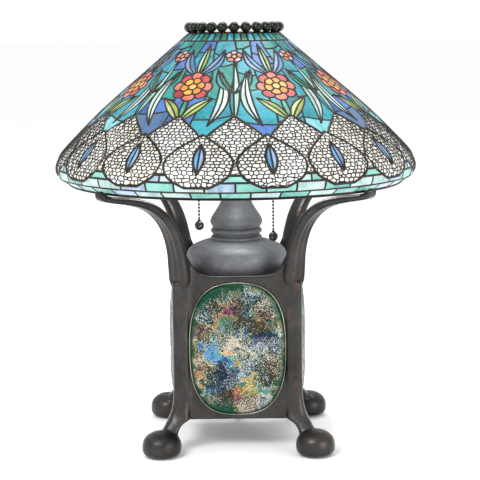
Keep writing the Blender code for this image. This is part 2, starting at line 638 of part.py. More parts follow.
def build_chain(place, top, ball_height, finish):
    """A bead chain hanging from its socket, with a ball at the end."""
    stations = []
    height = top.z + 1.5 * MM
    end = ball_height + CHAIN_BALL_RADIUS
    while height > end + 2.5 * MM:
        stations += [(height, CHAIN_BEAD_RADIUS), (height - CHAIN_PITCH / 2, 0.6 * MM)]
        height -= CHAIN_PITCH
    for k in range(1, 7):
        angle = math.radians(-90 + 180 * k / 7)
        level = ball_height - CHAIN_BALL_RADIUS * math.sin(angle)
        stations.append((level, CHAIN_BALL_RADIUS * math.cos(angle)))
    rings = []
    for level, radius in stations:
        rings.append([Vector((top.x + radius * math.cos(a), top.y + radius * math.sin(a), level))
                      for a in (2 * math.pi * i / 6 for i in range(6))])
    add_object(f"pull_chain_{place}", loft(rings), finish)


def build_base_light(finishes):
    """The small lamp inside the base that lights the glass tiles."""
    floor = BOTTOM_PLATE_HEIGHT + PLATE_THICKNESS + GAP
    socket = [(0.0, floor), (14 * MM, floor), (14 * MM, floor + 4 * MM), (9.5 * MM, floor + 6 * MM),
              (9.5 * MM, floor + 30 * MM), (0.0, floor + 30 * MM)]
    shape = lathe(socket, 16)
    bmesh.ops.translate(shape, vec=(28 * MM, 0.0, 0.0), verts=shape.verts)
    add_object("base_socket", shape, finishes["black_plastic"])
    start = floor + 30 * MM + GAP
    bulb = [(0.0, start), (6 * MM, start), (6 * MM, start + 8 * MM), (11 * MM, start + 24 * MM),
            (10 * MM, start + 34 * MM), (4 * MM, start + 48 * MM), (0.0, start + 50 * MM)]
    shape = lathe(bulb, 16)
    bmesh.ops.translate(shape, vec=(28 * MM, 0.0, 0.0), verts=shape.verts)
    add_object("base_bulb", shape, finishes["opal_bulb"])


# ---------------------------------------------------------------- cord

def cord_run(rows, first_x, last_x):
    """Centre points of a cord that lies in rows across the table, joined by half-circle bends."""
    points = []
    for k, (row_y, heading) in enumerate(rows):
        begin = first_x if k == 0 else -heading * CORD_REACH
        end = last_x if k == len(rows) - 1 else heading * CORD_REACH
        points += [Vector((begin, row_y, 0.0)), Vector((end, row_y, 0.0))]
        if k < len(rows) - 1:
            radius = (rows[k + 1][0] - row_y) / 2
            for step in range(1, 6):
                angle = math.pi * step / 6
                points.append(Vector((end + heading * radius * math.sin(angle),
                                      row_y + radius - radius * math.cos(angle), 0.0)))
    return points


def cord_object(name, points, finish):
    section = superellipse(CORD_HALF_WIDTH, CORD_HALF_HEIGHT, 2.6, 8)
    rings = []
    for k, centre in enumerate(points):
        ahead = (points[min(k + 1, len(points) - 1)] - points[max(k - 1, 0)]).normalized()
        level = Vector((ahead.y, -ahead.x, 0.0)).normalized()
        if abs(ahead.z) > 0.8:
            level = Vector((1.0, 0.0, 0.0))
        upward = level.cross(ahead)
        rings.append([centre + level * a + upward * b for a, b in section])
    add_object(name, loft(rings), finish)


def build_cord(finishes):
    """The cord leaves through the bottom plate at the back and lies in folds behind the lamp."""
    lift = Vector((0.0, 0.0, CORD_HALF_HEIGHT + 0.2 * MM))
    table = lift.z
    drop = [(62, 52), (62, 40), (62.5, 26), (65, 13), (72, 5.2)]
    drop = [Vector((0.0, (y - 2) * MM, z * MM)) for y, z in drop]
    turn = [(0.0, 82), (0.0, 94), (1.8, 100.2), (6.8, 105.2), (13, 107)]
    turn = [Vector((x * MM, y * MM, table)) for x, y in turn]
    rows = [(107 * MM, 1), (121 * MM, -1), (135 * MM, 1), (SWITCH_Y, -1)]
    run = [p + lift for p in cord_run(rows, 22 * MM, SWITCH_HALF[0] + GAP)]
    cord_object("cord_lamp_side", drop + turn + run, finishes["cord_plastic"])
    rows = [(SWITCH_Y, -1), (177 * MM, 1), (PLUG_Y, -1)]
    run = [p + lift for p in cord_run(rows, -SWITCH_HALF[0] - GAP, -10 * MM)]
    cord_object("cord_plug_side", run, finishes["cord_plastic"])
    hole = 3.6 * MM
    height = BOTTOM_PLATE_HEIGHT
    bush = [(hole, height - 2 * MM), (7.5 * MM, height - 2 * MM), (7.5 * MM, height - GAP),
            (5.0 * MM, height - GAP), (5.0 * MM, height + 4 * MM), (hole, height + 4 * MM)]
    shape = lathe(bush, 12)
    bmesh.ops.translate(shape, vec=(0.0, CORD_EXIT_Y, 0.0), verts=shape.verts)
    add_object("cord_grommet", shape, finishes["black_plastic"])


def build_switch(finishes):
    """A cord switch whose thumb wheel turns on an upright pin and shows at one side."""
    half_x, half_y, half_z = SWITCH_HALF
    middle = half_z + 0.2 * MM
    rings = []
    for share, size in ((-1.0, 0.62), (-0.86, 0.9), (-0.6, 1.0), (0.6, 1.0), (0.86, 0.9), (1.0, 0.62)):
        outline = superellipse(half_y * size, half_z * size, 4.0, 12)
        rings.append([Vector((half_x * share, SWITCH_Y + a, middle + b)) for a, b in outline])
    body = add_object("switch_body", loft(rings), finishes["black_plastic"])
    centre = Vector((0.0, SWITCH_Y + WHEEL_OFFSET, middle))
    half_slot = 2.6 * MM
    slot = rod(centre - UP * half_slot, centre + UP * half_slot, WHEEL_RADIUS + 0.6 * MM, 24)
    combine(body, slot, "DIFFERENCE")
    combine(body, rod(centre - UP * 5.0 * MM, centre + UP * 5.0 * MM, 2.1 * MM, 10), "DIFFERENCE")
    stations = [(1.8, -4.4), (1.8, -2.2), (10.4, -2.2), (11.0, -1.5), (11.0, 1.5), (10.4, 2.2), (1.8, 2.2),
                (1.8, 4.4)]
    profile = [(0.0, -4.4 * MM), *((r * MM, z * MM) for r, z in stations), (0.0, 4.4 * MM)]
    wheel = add_object("switch_wheel", lathe(profile, 20), finishes["black_plastic"])
    wheel.location = centre


def build_plug(finishes):
    """A two-blade plug at the end of the cord."""
    start = -10 * MM - GAP
    middle = 8.2 * MM
    rings = []
    stations = ((0, 4.5, 3.4), (8, 6.0, 4.6), (16, 11.0, 7.6), (34, 12.0, 8.0), (35.5, 11.0, 7.0))
    for distance, half_y, half_z in stations:
        low = min(middle, half_z * MM + 0.2 * MM)
        outline = superellipse(half_y * MM, half_z * MM, 3.0, 12)
        rings.append([Vector((start - distance * MM, PLUG_Y + a, low + b)) for a, b in outline])
    plug = add_object("plug", loft(rings), finishes["cord_plastic"])
    for side in (1, -1):
        y = PLUG_Y + side * 6.35 * MM
        blade = box((start - 52 * MM, y - 0.75 * MM, 4.0 * MM), (start - 30 * MM, y + 0.75 * MM, 10.4 * MM))
        combine(plug, blade, "UNION")


# ---------------------------------------------------------------- assembly

def clear_scene():
    for item in list(bpy.data.objects):
        bpy.data.objects.remove(item)


def main():
    clear_scene()
    finishes = make_materials()
    build_shade(finishes)
    build_posts(finishes)
    build_arms(finishes)
    build_panels(finishes)
    build_tiles(finishes)
    build_pads(finishes)
    build_column(finishes)
    build_cluster(finishes)
    build_light(1, "right", finishes)
    build_light(-1, "left", finishes)
    build_base_light(finishes)
    build_cord(finishes)
    build_switch(finishes)
    build_plug(finishes)


main()
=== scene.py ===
"""The looks of the stained glass table lamp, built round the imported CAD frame.

The shade is real leaded work. Its pattern is drawn as outlines on the shade's surface, cut into panes by
painting them in layers, and built as glass slabs with a lead came along each seam. Points on the shade
are (azimuth, drop): degrees round from the front, and mm down the surface from a line near the top edge.
Named lengths are in mm and named angles in degrees, unless a comment says otherwise.
"""

import json
import math
import random
from collections import defaultdict
from itertools import cycle

import bmesh
import bpy
from mathutils import Matrix, Vector, noise
from mathutils.geometry import delaunay_2d_cdt

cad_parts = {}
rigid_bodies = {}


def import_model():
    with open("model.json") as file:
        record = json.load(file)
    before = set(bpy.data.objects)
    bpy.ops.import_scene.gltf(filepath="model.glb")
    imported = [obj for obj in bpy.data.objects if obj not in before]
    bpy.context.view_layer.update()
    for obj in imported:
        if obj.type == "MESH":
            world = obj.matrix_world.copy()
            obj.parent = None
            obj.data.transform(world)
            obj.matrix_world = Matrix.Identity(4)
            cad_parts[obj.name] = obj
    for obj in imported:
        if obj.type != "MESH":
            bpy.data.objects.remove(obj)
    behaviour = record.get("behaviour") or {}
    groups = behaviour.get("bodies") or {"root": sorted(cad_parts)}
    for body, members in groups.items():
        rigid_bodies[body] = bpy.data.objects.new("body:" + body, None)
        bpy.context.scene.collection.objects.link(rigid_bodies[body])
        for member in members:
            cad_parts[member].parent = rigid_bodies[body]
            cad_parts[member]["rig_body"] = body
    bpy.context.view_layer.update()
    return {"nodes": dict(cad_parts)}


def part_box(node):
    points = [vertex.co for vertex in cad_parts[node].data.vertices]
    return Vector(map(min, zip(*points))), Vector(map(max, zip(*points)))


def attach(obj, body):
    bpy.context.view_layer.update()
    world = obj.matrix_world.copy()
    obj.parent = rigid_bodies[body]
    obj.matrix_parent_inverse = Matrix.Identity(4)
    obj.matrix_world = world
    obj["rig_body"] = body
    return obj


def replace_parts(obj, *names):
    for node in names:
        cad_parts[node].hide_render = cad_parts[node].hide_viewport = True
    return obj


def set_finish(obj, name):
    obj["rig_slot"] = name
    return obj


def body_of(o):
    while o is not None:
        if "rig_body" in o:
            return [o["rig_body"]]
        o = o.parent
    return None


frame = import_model()

MM = 0.001
QUADRANTS = {"front": 0, "right": 90, "back": 180, "left": 270}
CORNERS = ("front_left", "front_right", "back_left", "back_right")
DIAGONAL = Vector((1.0, -1.0, 0.0)).normalized()      # towards the front right corner
ACROSS = Vector((1.0, 1.0, 0.0)).normalized()
UP = Vector((0.0, 0.0, 1.0))

# Shade
SHADE_OUTLINE = [         # (radius, height) down the outer face
    (57.2, 523.9), (113.5, 475.75), (167.0, 430.0), (216.0, 381.0),
    (225.4, 367.0), (228.6, 356.0), (225.0, 346.0), (212.0, 337.0),
]
TOP_EXTRA = 3.69          # how far down the surface from the outline's first point a drop of 0 is
TOP_DROP = -3.0           # where the glass starts
RIM_DROP = 263.0          # and where it ends
GLASS_HALF = 1.0          # half the thickness of the glass
GLASS_INSET = 1.3         # from the shade's outer surface to the middle of the glass
GLASS_TILT = 0.011        # the steepest slope that a pane is set at
GLASS_LEAN = 0.3          # the most that a pane's edge moves because of it
GLASS_ALBEDO = 0.42       # how much of a glass's colour comes from light that falls on it
GLASS_GLOW = 0.34         # and from light that comes through it
SMALLEST_PANE = 2.0       # in square mm; smaller slivers are left to the lead
CAME_RADIUS = 1.62
NETTED_CAME_RADIUS = 1.95
NET_RADIUS = 0.8          # the fine metal net over the petals
NET_ROW = 4.6             # from one row of net cells to the next
NET_CELL = 6.0            # from one cell to the next along a row
WINDOW_START = -45.0      # the repeating quarter of the pattern starts here
PERIOD = 90.0
SECTOR = 45.0             # each has one flower and one bud
MARGIN = 26.0             # how far past the quarter's ends the cutting adds extra points
BEAD_COUNT = 24           # the crown of beads
BEAD_RADIUS = 6.4
BEAD_RING_RADIUS = 56.6
CROWN_WIRE_RADIUS = 1.8
RIM_BEAD_HALF = (1.8, 1.3)    # half width and half height of the bead round the rim

# Base
TILE_CENTRE = 132.0       # height of the middle of each glass tile
TILE_SIZE = (58.8, 82.5)  # half width and half height
TILE_POWER = 2.7          # exponent of the tile's superellipse outline
TILE_CLEARANCE = 0.4      # how far the opening stands off the tile
TILE_EDGE = 8.2           # how far the tile's edge stands out from its back
TILE_RINGS = 46           # rings of the tile's mesh
TILE_POINTS = 150         # and the points in each
BEZEL_OFFSET = 1.1        # from the tile's edge, and from the CAD bezel's front, to the bezel's middle
BEZEL_RADIUS = 1.05
FOOT_CENTRE = 96.0        # from the lamp's axis to a foot's centre, along x and along y
SECTION_POWER = 3.4       # exponent of the posts' and arms' superellipse sections
CAST_VOXEL = 1.3          # grain of the fused castings
CAST_SPLIT = 217.0        # arms and ears are above this height, posts and panels below
EAR_SPLIT = 57.0          # how far from a side's middle an ear ends and an arm begins
PANEL_SPLIT = 61.4        # and a panel ends and a post begins
COLUMN_HOLE = 5.4         # radius of the hole through the bowl, ring and cone
CHAIN_BALL_RADIUS = 6.0
CHAIN_BEAD_RADIUS = 1.55
CHAIN_PITCH = 4.36
CHAIN_WIRE_RADIUS = 0.55

# Stage. These places and sizes are in metres, and powers in watts.
LIGHTS = (                # name, place, target, diameter and power
    ("key", (-0.9, -1.6, 1.7), (0, 0, 0.35), 0.9, 34),
    ("fill", (1.5, -1.6, 0.5), (0, 0, 0.25), 1.2, 18),
    ("top", (0.2, 0.7, 2.2), (0, 0, 0.4), 1.4, 30),
)
GLOW_HEIGHT = 0.44        # the lamp's own light, inside the shade
GLOW_POWER = 2.2
GLOW_RADIUS = 0.05
FLOOR_HALF = 30.0
CAMERA_PLACE = (4.5 * MM, -1883.3 * MM, 544.7 * MM)
CAMERA_DOWN = 8.65        # degrees that the camera looks down by
CAMERA_ROLL = -0.65
CAMERA_LENS = 110.7


# ---------- general tools

def srgb(red, green, blue):
    """A linear colour from 0-255 display values."""
    def linear(value):
        return value / 255 / 12.92 if value <= 10 else ((value / 255 + 0.055) / 1.055) ** 2.4

    return linear(red), linear(green), linear(blue)


def spline(points, steps):
    """A Catmull-Rom curve through points, with steps spans between each pair."""
    def between(p, q, r, s, t):
        square, cube = 2 * p - 5 * q + 4 * r - s, 3 * q - p - 3 * r + s
        return 0.5 * (2 * q + (r - p) * t + square * t * t + cube * t ** 3)

    padded = [points[0], *points, points[-1]]
    made = []
    for span in zip(padded, padded[1:], padded[2:], padded[3:]):
        for k in range(steps):
            made.append(tuple(between(*values, k / steps) for values in zip(*span)))
    made.append(tuple(points[-1]))
    return made


def new_object(name, mesh, finish, body="base", slot=None, smooth_angle=40):
    """Links an object that rides on a body. mesh is a bmesh or a finished mesh."""
    if isinstance(mesh, bmesh.types.BMesh):
        bmesh.ops.recalc_face_normals(mesh, faces=mesh.faces)
        data = bpy.data.meshes.new(name)
        mesh.to_mesh(data)
        mesh.free()
        data.shade_smooth()
        data.set_sharp_from_angle(angle=math.radians(smooth_angle))
        data.materials.append(finish)
        mesh = data
    made = bpy.data.objects.new(name, mesh)
    bpy.context.scene.collection.objects.link(made)
    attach(made, body)
    if slot:
        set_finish(made, slot)
    return made


def stand_in(node, name, bm, finish, body, slot, smooth_angle=40):
    """A piece that is shown in place of one CAD node."""
    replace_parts(new_object(name, bm, finish, body, slot, smooth_angle), node)


def turned_copies(first, base_name, places, node_name=None):
    """Names the first piece for the place at 0 degrees and adds turned copies that share its data."""
    body = body_of(first)[0]
    for place, degrees in places.items():
        made = first
        if degrees:
            made = bpy.data.objects.new("copy", first.data)
            bpy.context.scene.collection.objects.link(made)
            made.rotation_euler.z = math.radians(degrees)
            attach(made, body)
            if "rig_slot" in first:
                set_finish(made, first["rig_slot"])
        made.name = f"{base_name}_{place}"
        if node_name:
            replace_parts(made, f"{node_name}_{place}")


def skin(bm, lower, upper):
    """Joins two rings of vertices with faces. A ring of one vertex is a point."""
    count = max(len(lower), len(upper))
    for i in range(count if count > 1 else 0):
        j = (i + 1) % count
        corners = [lower[i % len(lower)], lower[j % len(lower)], upper[j % len(upper)], upper[i % len(upper)]]
        bm.faces.new(list(dict.fromkeys(corners)))


def loft(rings):
    """A skin through rings of points, with a cap at each end."""
    bm = bmesh.new()
    loops = [[bm.verts.new(point) for point in ring] for ring in rings]
    bm.faces.new(loops[0])
    bm.faces.new(reversed(loops[-1]))
    for lower, upper in zip(loops, loops[1:]):
        skin(bm, lower, upper)
    return bm


def lathe(profile, segments):
    """Turns a closed outline of (radius, height) points in mm about Z."""
    bm = bmesh.new()
    loops = []
    for radius, height in profile:
        if radius < 1e-6:
            loops.append([bm.verts.new((0.0, 0.0, height * MM))])
            continue
        angles = [2 * math.pi * i / segments for i in range(segments)]
        loops.append([bm.verts.new((radius * MM * math.cos(a), radius * MM * math.sin(a), height * MM))
                      for a in angles])
    for lower, upper in zip(loops, loops[1:] + loops[:1]):
        skin(bm, lower, upper)
    return bm


def oval(radius, height, half_width, half_height, count):
    """An oval outline for lathe, about a point (radius, height)."""
    angles = [2 * math.pi * i / count for i in range(count)]
    return [(radius + half_width * math.cos(a), height + half_height * math.sin(a)) for a in angles]


def superellipse(half_x, half_y, power, count):
    """Points round an outline that is squarer than an ellipse when power is over 2."""
    points = []
    for i in range(count):
        angle = 2 * math.pi * (i + 0.5) / count
        c, s = math.cos(angle), math.sin(angle)
        points.append((half_x * math.copysign(abs(c) ** (2 / power), c),
                       half_y * math.copysign(abs(s) ** (2 / power), s)))
    return points


def tube_curve(name, lines, radius, finish, body, resolution=1):
    """Round bars along 3-D lines, as one mesh."""
    data = bpy.data.curves.new(name, "CURVE")
    data.dimensions = "3D"
    data.bevel_depth = radius
    data.bevel_resolution = resolution
    data.use_fill_caps = True
    for line in lines:
        part = data.splines.new("POLY")
        part.points.add(len(line) - 1)
        for point, place in zip(part.points, line):
            point.co = (*place, 1.0)
    drawn = bpy.data.objects.new(name, data)
    bpy.context.scene.collection.objects.link(drawn)
    evaluated = drawn.evaluated_get(bpy.context.evaluated_depsgraph_get())
    mesh = bpy.data.meshes.new_from_object(evaluated)
    bpy.data.objects.remove(drawn)
    bpy.data.curves.remove(data)
    mesh.shade_smooth()
    mesh.materials.append(finish)
    return new_object(name, mesh, finish, body)


# ---------- materials

class Finish:
    """A small builder for one procedural material."""

    def __init__(self, name):
        self.material = bpy.data.materials.new(name)
        self.material.use_nodes = True
        self.tree = self.material.node_tree
        self.shader = self.tree.nodes["Principled BSDF"]

    def node(self, kind, inputs=None, **settings):
        made = self.tree.nodes.new(kind)
        for key, value in settings.items():
            setattr(made, key, value)
        for key, value in (inputs or {}).items():
            self.feed(made.inputs[key], value)
        return made

    def feed(self, socket, value):
        if isinstance(value, bpy.types.NodeSocket):
            self.tree.links.new(value, socket)
        else:
            socket.default_value = value

    def set(self, **values):
        for key, value in values.items():
            self.feed(self.shader.inputs[key.replace("_", " ")], value)

    def place(self):
        """Object coordinates in metres."""
        return self.node("ShaderNodeTexCoord").outputs["Object"]

    def noise(self, vector, scale, detail, roughness, distortion=0.0, output="Fac"):
        inputs = {"Vector": vector, "Scale": scale, "Detail": detail, "Roughness": roughness,
                  "Distortion": distortion}
        return self.node("ShaderNodeTexNoise", inputs).outputs[output]

    def ramp(self, factor, stops):
        """Blends colours between stops of (position, linear colour)."""
        made = self.node("ShaderNodeValToRGB", {"Fac": factor})
        elements = made.color_ramp.elements
        while len(elements) < len(stops):
            elements.new(0.5)
        for element, (position, colour) in zip(elements, stops):
            element.position = position
            element.color = (*colour, 1.0)
        return made.outputs["Color"]

    def mix(self, factor, first, second):
        """Blends two colours. Inputs 6 and 7 and output 2 are a Mix node's colour sockets."""
        made = self.node("ShaderNodeMix", data_type="RGBA")
        self.feed(made.inputs["Factor"], factor)
        for socket, value in ((made.inputs[6], first), (made.inputs[7], second)):
            self.feed(socket, value if isinstance(value, bpy.types.NodeSocket) else (*value, 1.0))
        return made.outputs[2]

    def math(self, operation, first, second):
        return self.node("ShaderNodeMath", {0: first, 1: second}, operation=operation).outputs[0]

    def plus(self, first, second):
        return self.math("ADD", first, second)

    def times(self, first, second):
        return self.math("MULTIPLY", first, second)

    def vector_math(self, operation, first, second):
        return self.node("ShaderNodeVectorMath", {0: first, 1: second}, operation=operation).outputs[0]

    def bump(self, height, strength, distance):
        made = self.node("ShaderNodeBump", {"Height": height, "Strength": strength, "Distance": distance})
        self.set(Normal=made.outputs["Normal"])


# Each glass: its main colour, and the colour of its streaks
GLASS = {
    "turquoise": ((44, 160, 176), (12, 104, 128)),
    "aqua": ((128, 200, 208), (84, 172, 180)),
    "teal": ((28, 148, 140), (8, 96, 104)),
    "jade": ((78, 172, 142), (40, 134, 104)),
    "mint": ((176, 214, 202), (128, 190, 174)),
    "white": ((212, 222, 222), (172, 188, 194)),
    "lavender": ((140, 172, 208), (110, 144, 190)),
    "sky": ((98, 158, 208), (64, 124, 182)),
    "blue": ((68, 118, 188), (44, 86, 158)),
    "orange": ((244, 156, 62), (214, 104, 42)),
    "amber": ((240, 176, 72), (214, 132, 46)),
    "yellow": ((232, 190, 92), (206, 146, 58)),
    "coral": ((222, 116, 96), (190, 74, 70)),
    "red": ((196, 66, 66), (150, 36, 48)),
    "pink": ((214, 168, 190), (176, 120, 160)),
    "leaf": ((158, 178, 82), (120, 146, 54)),
    "leaf_pale": ((192, 210, 138), (158, 182, 102)),
    "green": ((24, 118, 88), (10, 78, 58)),
    "steel_blue": ((70, 106, 148), (44, 74, 116)),
    "brick_mint": ((140, 208, 196), (62, 166, 160)),
    "brick_blue": ((176, 194, 220), (116, 168, 196)),
    "brick_pale": ((196, 222, 220), (112, 190, 188)),
    "frosted": ((255, 252, 240), (236, 236, 224)),
}


def glass_finish(name, main, streak):
    """Streaky art glass, lit softly from inside. Each pane's own number turns and shifts its streaks."""
    finish = Finish(f"glass_{name}")
    pane = finish.node("ShaderNodeAttribute", attribute_name="pane").outputs["Fac"]
    turn = {"Vector": finish.place(), "Angle": finish.times(pane, 37.0)}
    turned = finish.node("ShaderNodeVectorRotate", turn, rotation_type="AXIS_ANGLE").outputs["Vector"]
    stretch = {"Vector": turned, "Scale": (1.0, 4.5, 2.0)}
    stretched = finish.node("ShaderNodeMapping", stretch).outputs["Vector"]
    streaks = finish.noise(stretched, 24.0, 5.0, 0.6, 0.5)
    clouds = finish.noise(turned, 45.0, 3.0, 0.5, 0.4)
    amount = finish.plus(finish.times(streaks, 1.5), finish.times(pane, 0.3))
    light = tuple(min(1.0, c * 1.18 + 0.02) for c in srgb(*main))
    colour = finish.ramp(amount, [(0.5, srgb(*streak)), (0.85, srgb(*main)), (1.0, light)])
    lit = finish.mix(1.0 - GLASS_ALBEDO, colour, (0.0, 0.0, 0.0))
    finish.set(Base_Color=lit, Roughness=0.3, IOR=1.5, Emission_Color=colour, Emission_Strength=GLASS_GLOW)
    finish.set(Coat_Weight=0.05, Coat_Roughness=0.08, Specular_IOR_Level=0.3)
    finish.bump(finish.plus(streaks, clouds), 0.35, 0.0009)
    return finish.material


def metal_finish(name, dark, light, roughness, metallic, grain=180.0, tint=None):
    """Patinated cast metal: broad colour drift, fine grain, and worn spots where a tint is given."""
    finish = Finish(name)
    place = finish.place()
    drift = finish.noise(place, 14.0, 4.0, 0.6, 0.8)
    fine = finish.noise(place, grain, 6.0, 0.65)
    colour = finish.ramp(drift, [(0.3, srgb(*dark)), (0.7, srgb(*light))])
    if tint:
        spots = finish.noise(place, 42.0, 5.0, 0.7, 1.2)
        mask = finish.ramp(spots, [(0.56, (0.0, 0.0, 0.0)), (0.72, (1.0, 1.0, 1.0))])
        colour = finish.mix(finish.times(mask, 0.6), colour, srgb(*tint))
    colour = finish.mix(finish.times(fine, 0.5), colour, tuple(c * 0.55 for c in srgb(*dark)))
    rough = finish.plus(finish.times(fine, 0.3), roughness - 0.15)
    finish.set(Base_Color=colour, Metallic=metallic, Roughness=rough)
    finish.bump(finish.plus(fine, finish.times(drift, 2.0)), 0.5, 0.0006)
    return finish.material


def tile_finish():
    """Iridescent poured glass: an emerald edge, flakes of lustre over dark glass, and drifts of colour."""
    finish = Finish("turtleback_glass")
    place = finish.place()
    drift = finish.noise(place, 60.0, 4.0, 0.65, output="Color")
    swing = finish.vector_math("SUBTRACT", drift, (0.5, 0.5, 0.5))
    warped = finish.vector_math("ADD", place, finish.vector_math("MULTIPLY", swing, (0.06, 0.0, 0.06)))
    cloud = finish.noise(warped, 30.0, 3.0, 0.6)
    hues = finish.ramp(finish.noise(warped, 24.0, 4.0, 0.6), [
        (0.36, srgb(58, 84, 170)), (0.43, srgb(40, 138, 186)), (0.48, srgb(70, 146, 116)),
        (0.53, srgb(206, 184, 122)), (0.58, srgb(206, 148, 92)), (0.64, srgb(160, 96, 132))])
    depths = finish.ramp(cloud, [(0.4, srgb(6, 6, 14)), (0.5, srgb(4, 18, 14)), (0.62, srgb(20, 16, 8))])
    density = finish.times(finish.math("SUBTRACT", cloud, 0.53), 0.75)
    flakes = finish.plus(finish.noise(place, 840.0, 1.6, 0.5, 0.4), density)
    limits = {"Value": flakes, "From Min": 0.51, "From Max": 0.57}
    flakes = finish.node("ShaderNodeMapRange", limits).outputs["Result"]
    spread = finish.noise(warped, 38.0, 2.0, 0.5, 0.8)
    patches = finish.ramp(spread, [(0.53, (0.16,) * 3), (0.62, (0.95,) * 3)])
    bright = finish.mix(patches, srgb(176, 178, 170), hues)
    colour = finish.mix(flakes, depths, bright)
    veil = finish.times(patches, 0.3)
    colour = finish.mix(veil, colour, hues)
    rim = finish.node("ShaderNodeAttribute", attribute_name="heart").outputs["Fac"]
    wave = finish.times(finish.math("SUBTRACT", cloud, 0.46), 0.7)
    edge = finish.ramp(finish.plus(rim, wave), [(0.06, (1.0,) * 3), (0.2, (0.0,) * 3)])
    colour = finish.mix(edge, colour, srgb(0, 62, 34))
    finish.set(Base_Color=colour, Roughness=0.28, Metallic=0.3, Specular_IOR_Level=0.12)
    finish.set(Coat_Weight=0.14, Coat_Roughness=0.03)
    ripples = finish.noise(place, 95.0, 5.0, 0.7, 1.0)
    finish.bump(finish.plus(ripples, finish.times(flakes, 0.35)), 0.5, 0.0012)
    return finish.material


def plain_finish(name, colour, roughness, metallic=0.0, emission=0.0, grain=300.0):
    """A moulded or painted surface with a fine grain."""
    finish = Finish(name)
    fine = finish.noise(finish.place(), grain, 4.0, 0.6)
    colour = srgb(*colour)
    shade = finish.mix(finish.times(fine, 0.35), colour, tuple(c * 0.7 for c in colour))
    finish.set(Base_Color=shade, Roughness=finish.plus(finish.times(fine, 0.15), roughness))
    finish.set(Metallic=metallic, Emission_Color=shade, Emission_Strength=emission)
    finish.bump(fine, 0.25, 0.0003)
    return finish.material


# ---------- shade surface

class ShadeSurface:
    """Turns (azimuth, drop) into places on the shade."""

    def __init__(self):
        self.points = spline(SHADE_OUTLINE, 14)
        self.drops = [-TOP_EXTRA]
        for a, b in zip(self.points, self.points[1:]):
            self.drops.append(self.drops[-1] + math.dist(a, b))

    def section(self, drop):
        """Radius, height and the outward normal's two parts at a drop, in mm."""
        drop = min(max(drop, -TOP_EXTRA), self.drops[-1] - 1e-6)
        low, high = 0, len(self.drops) - 1
        while high - low > 1:
            k = (low + high) // 2
            if self.drops[k] <= drop:
                low = k
            else:
                high = k
        (r0, z0), (r1, z1) = self.points[low], self.points[low + 1]
        length = self.drops[low + 1] - self.drops[low]
        t = (drop - self.drops[low]) / length
        return r0 + (r1 - r0) * t, z0 + (z1 - z0) * t, -(z1 - z0) / length, (r1 - r0) / length

    def place(self, azimuth, drop, lift=0.0):
        """A point in metres, lift mm out from the middle of the glass."""
        radius, height, out, up = self.section(drop)
        lift -= GLASS_INSET
        angle = math.radians(azimuth)
        radius += out * lift
        return Vector((radius * math.sin(angle), -radius * math.cos(angle), height + up * lift)) * MM

    def degree(self, drop):
        """How many mm one degree is, at a drop."""
        return math.radians(self.section(drop)[0])


surface = ShadeSurface()


# ---------- pattern: drawing tools

def outline(*strokes):
    """A closed outline of (azimuth, drop) points, drawn as smooth strokes that meet at corners."""
    points = []
    for k, stroke in enumerate(strokes):
        following = strokes[(k + 1) % len(strokes)][0]
        line = list(stroke) if stroke[-1] == following else [*stroke, following]
        points += spline(line, 6)[:-1] if len(line) > 2 else line[:-1]
    return points


def thinned(points, step, closed):
    """Respaces points about step mm apart on the surface, keeping sharp corners near their places."""
    line = points + points[:1] if closed else list(points)
    made = [line[0]]
    since = 0.0
    for a, b in zip(line, line[1:]):
        length = math.hypot((b[0] - a[0]) * surface.degree(a[1]), b[1] - a[1])
        if length > step:
            parts = math.ceil(length / step)
            made += [(a[0] + (b[0] - a[0]) * i / parts, a[1] + (b[1] - a[1]) * i / parts)
                     for i in range(1, parts + 1)]
            since = 0.0
            continue
        since += length
        if since > step * 0.75:
            made.append(b)
            since = 0.0
    if closed and math.dist(made[0], made[-1]) < 0.6 and len(made) > 3:
        made.pop()
    elif not closed and made[-1] != line[-1]:
        made.append(line[-1])
    return made


def area(loop, colour, kind="pane", cuts=(), seeds=()):
    """One shape of the pattern. cuts divide it, and seeds colour its parts by which seed is nearest."""
    return {"loop": loop, "colour": colour, "kind": kind, "cuts": list(cuts), "seeds": list(seeds)}


def pane(colour, *strokes):
    return area(outline(*strokes), colour)


def band(colour, start, end, top, bottom, joints=(), seeds=()):
    """A strip round the shade between two azimuths and two drops, cut at the joints."""
    count = max(2, int((end - start) / 2))
    azimuths = [start + (end - start) * i / count for i in range(count + 1)]
    loop = [(a, top) for a in azimuths] + [(a, bottom) for a in reversed(azimuths)]
    return area(loop, colour, cuts=[[(a, top), (a, bottom)] for a in joints], seeds=seeds)


def moved(shape, shift):
    """A copy of a shape, shifted round."""
    copy = dict(shape)
    copy["loop"] = [(a + shift, d) for a, d in shape["loop"]]
    copy["cuts"] = [[(a + shift, d) for a, d in cut] for cut in shape["cuts"]]
    copy["seeds"] = [(a + shift, d, c) for a, d, c in shape["seeds"]]
    return copy


# ---------- pattern: leaves, flowers, petals and bricks

QUARTER_TURNS = (-1, 0, 1)
CROWN_PANES = 12          # small panes across each quarter, round the top opening
CROWN_END = 11.0
CROWN_COLOURS = ("teal", "green", "turquoise")
STAVES = 6                # tall panes across each quarter of the field
STAVE_WAVE = 2.2          # degrees that a stave's side swings
FIELD_END = 207.0
FIELD_JOINTS = (30.0, 64.0, 104.0, 146.0)
FIELD_COLOURS = (
    "turquoise", "teal", "turquoise", "aqua", "teal", "turquoise", "blue", "turquoise", "steel_blue",
)
FLOWER_DROP = 92.0
BUD_DROP = 39.0
PETALS = 4                # netted petals across each quarter, in each row
PETAL_ROWS = (            # each row's first azimuth, tip, widest drop, foot and half width in degrees
    (0.0, 141.0, 188.0, 228.0, 11.6),
    (11.25, 170.0, 211.0, 243.0, 10.7),
)
BRICKS = 10               # bricks across each quarter, in each row
BRICK_EDGES = (FIELD_END, 223.0, 237.0, 250.0, RIM_DROP)
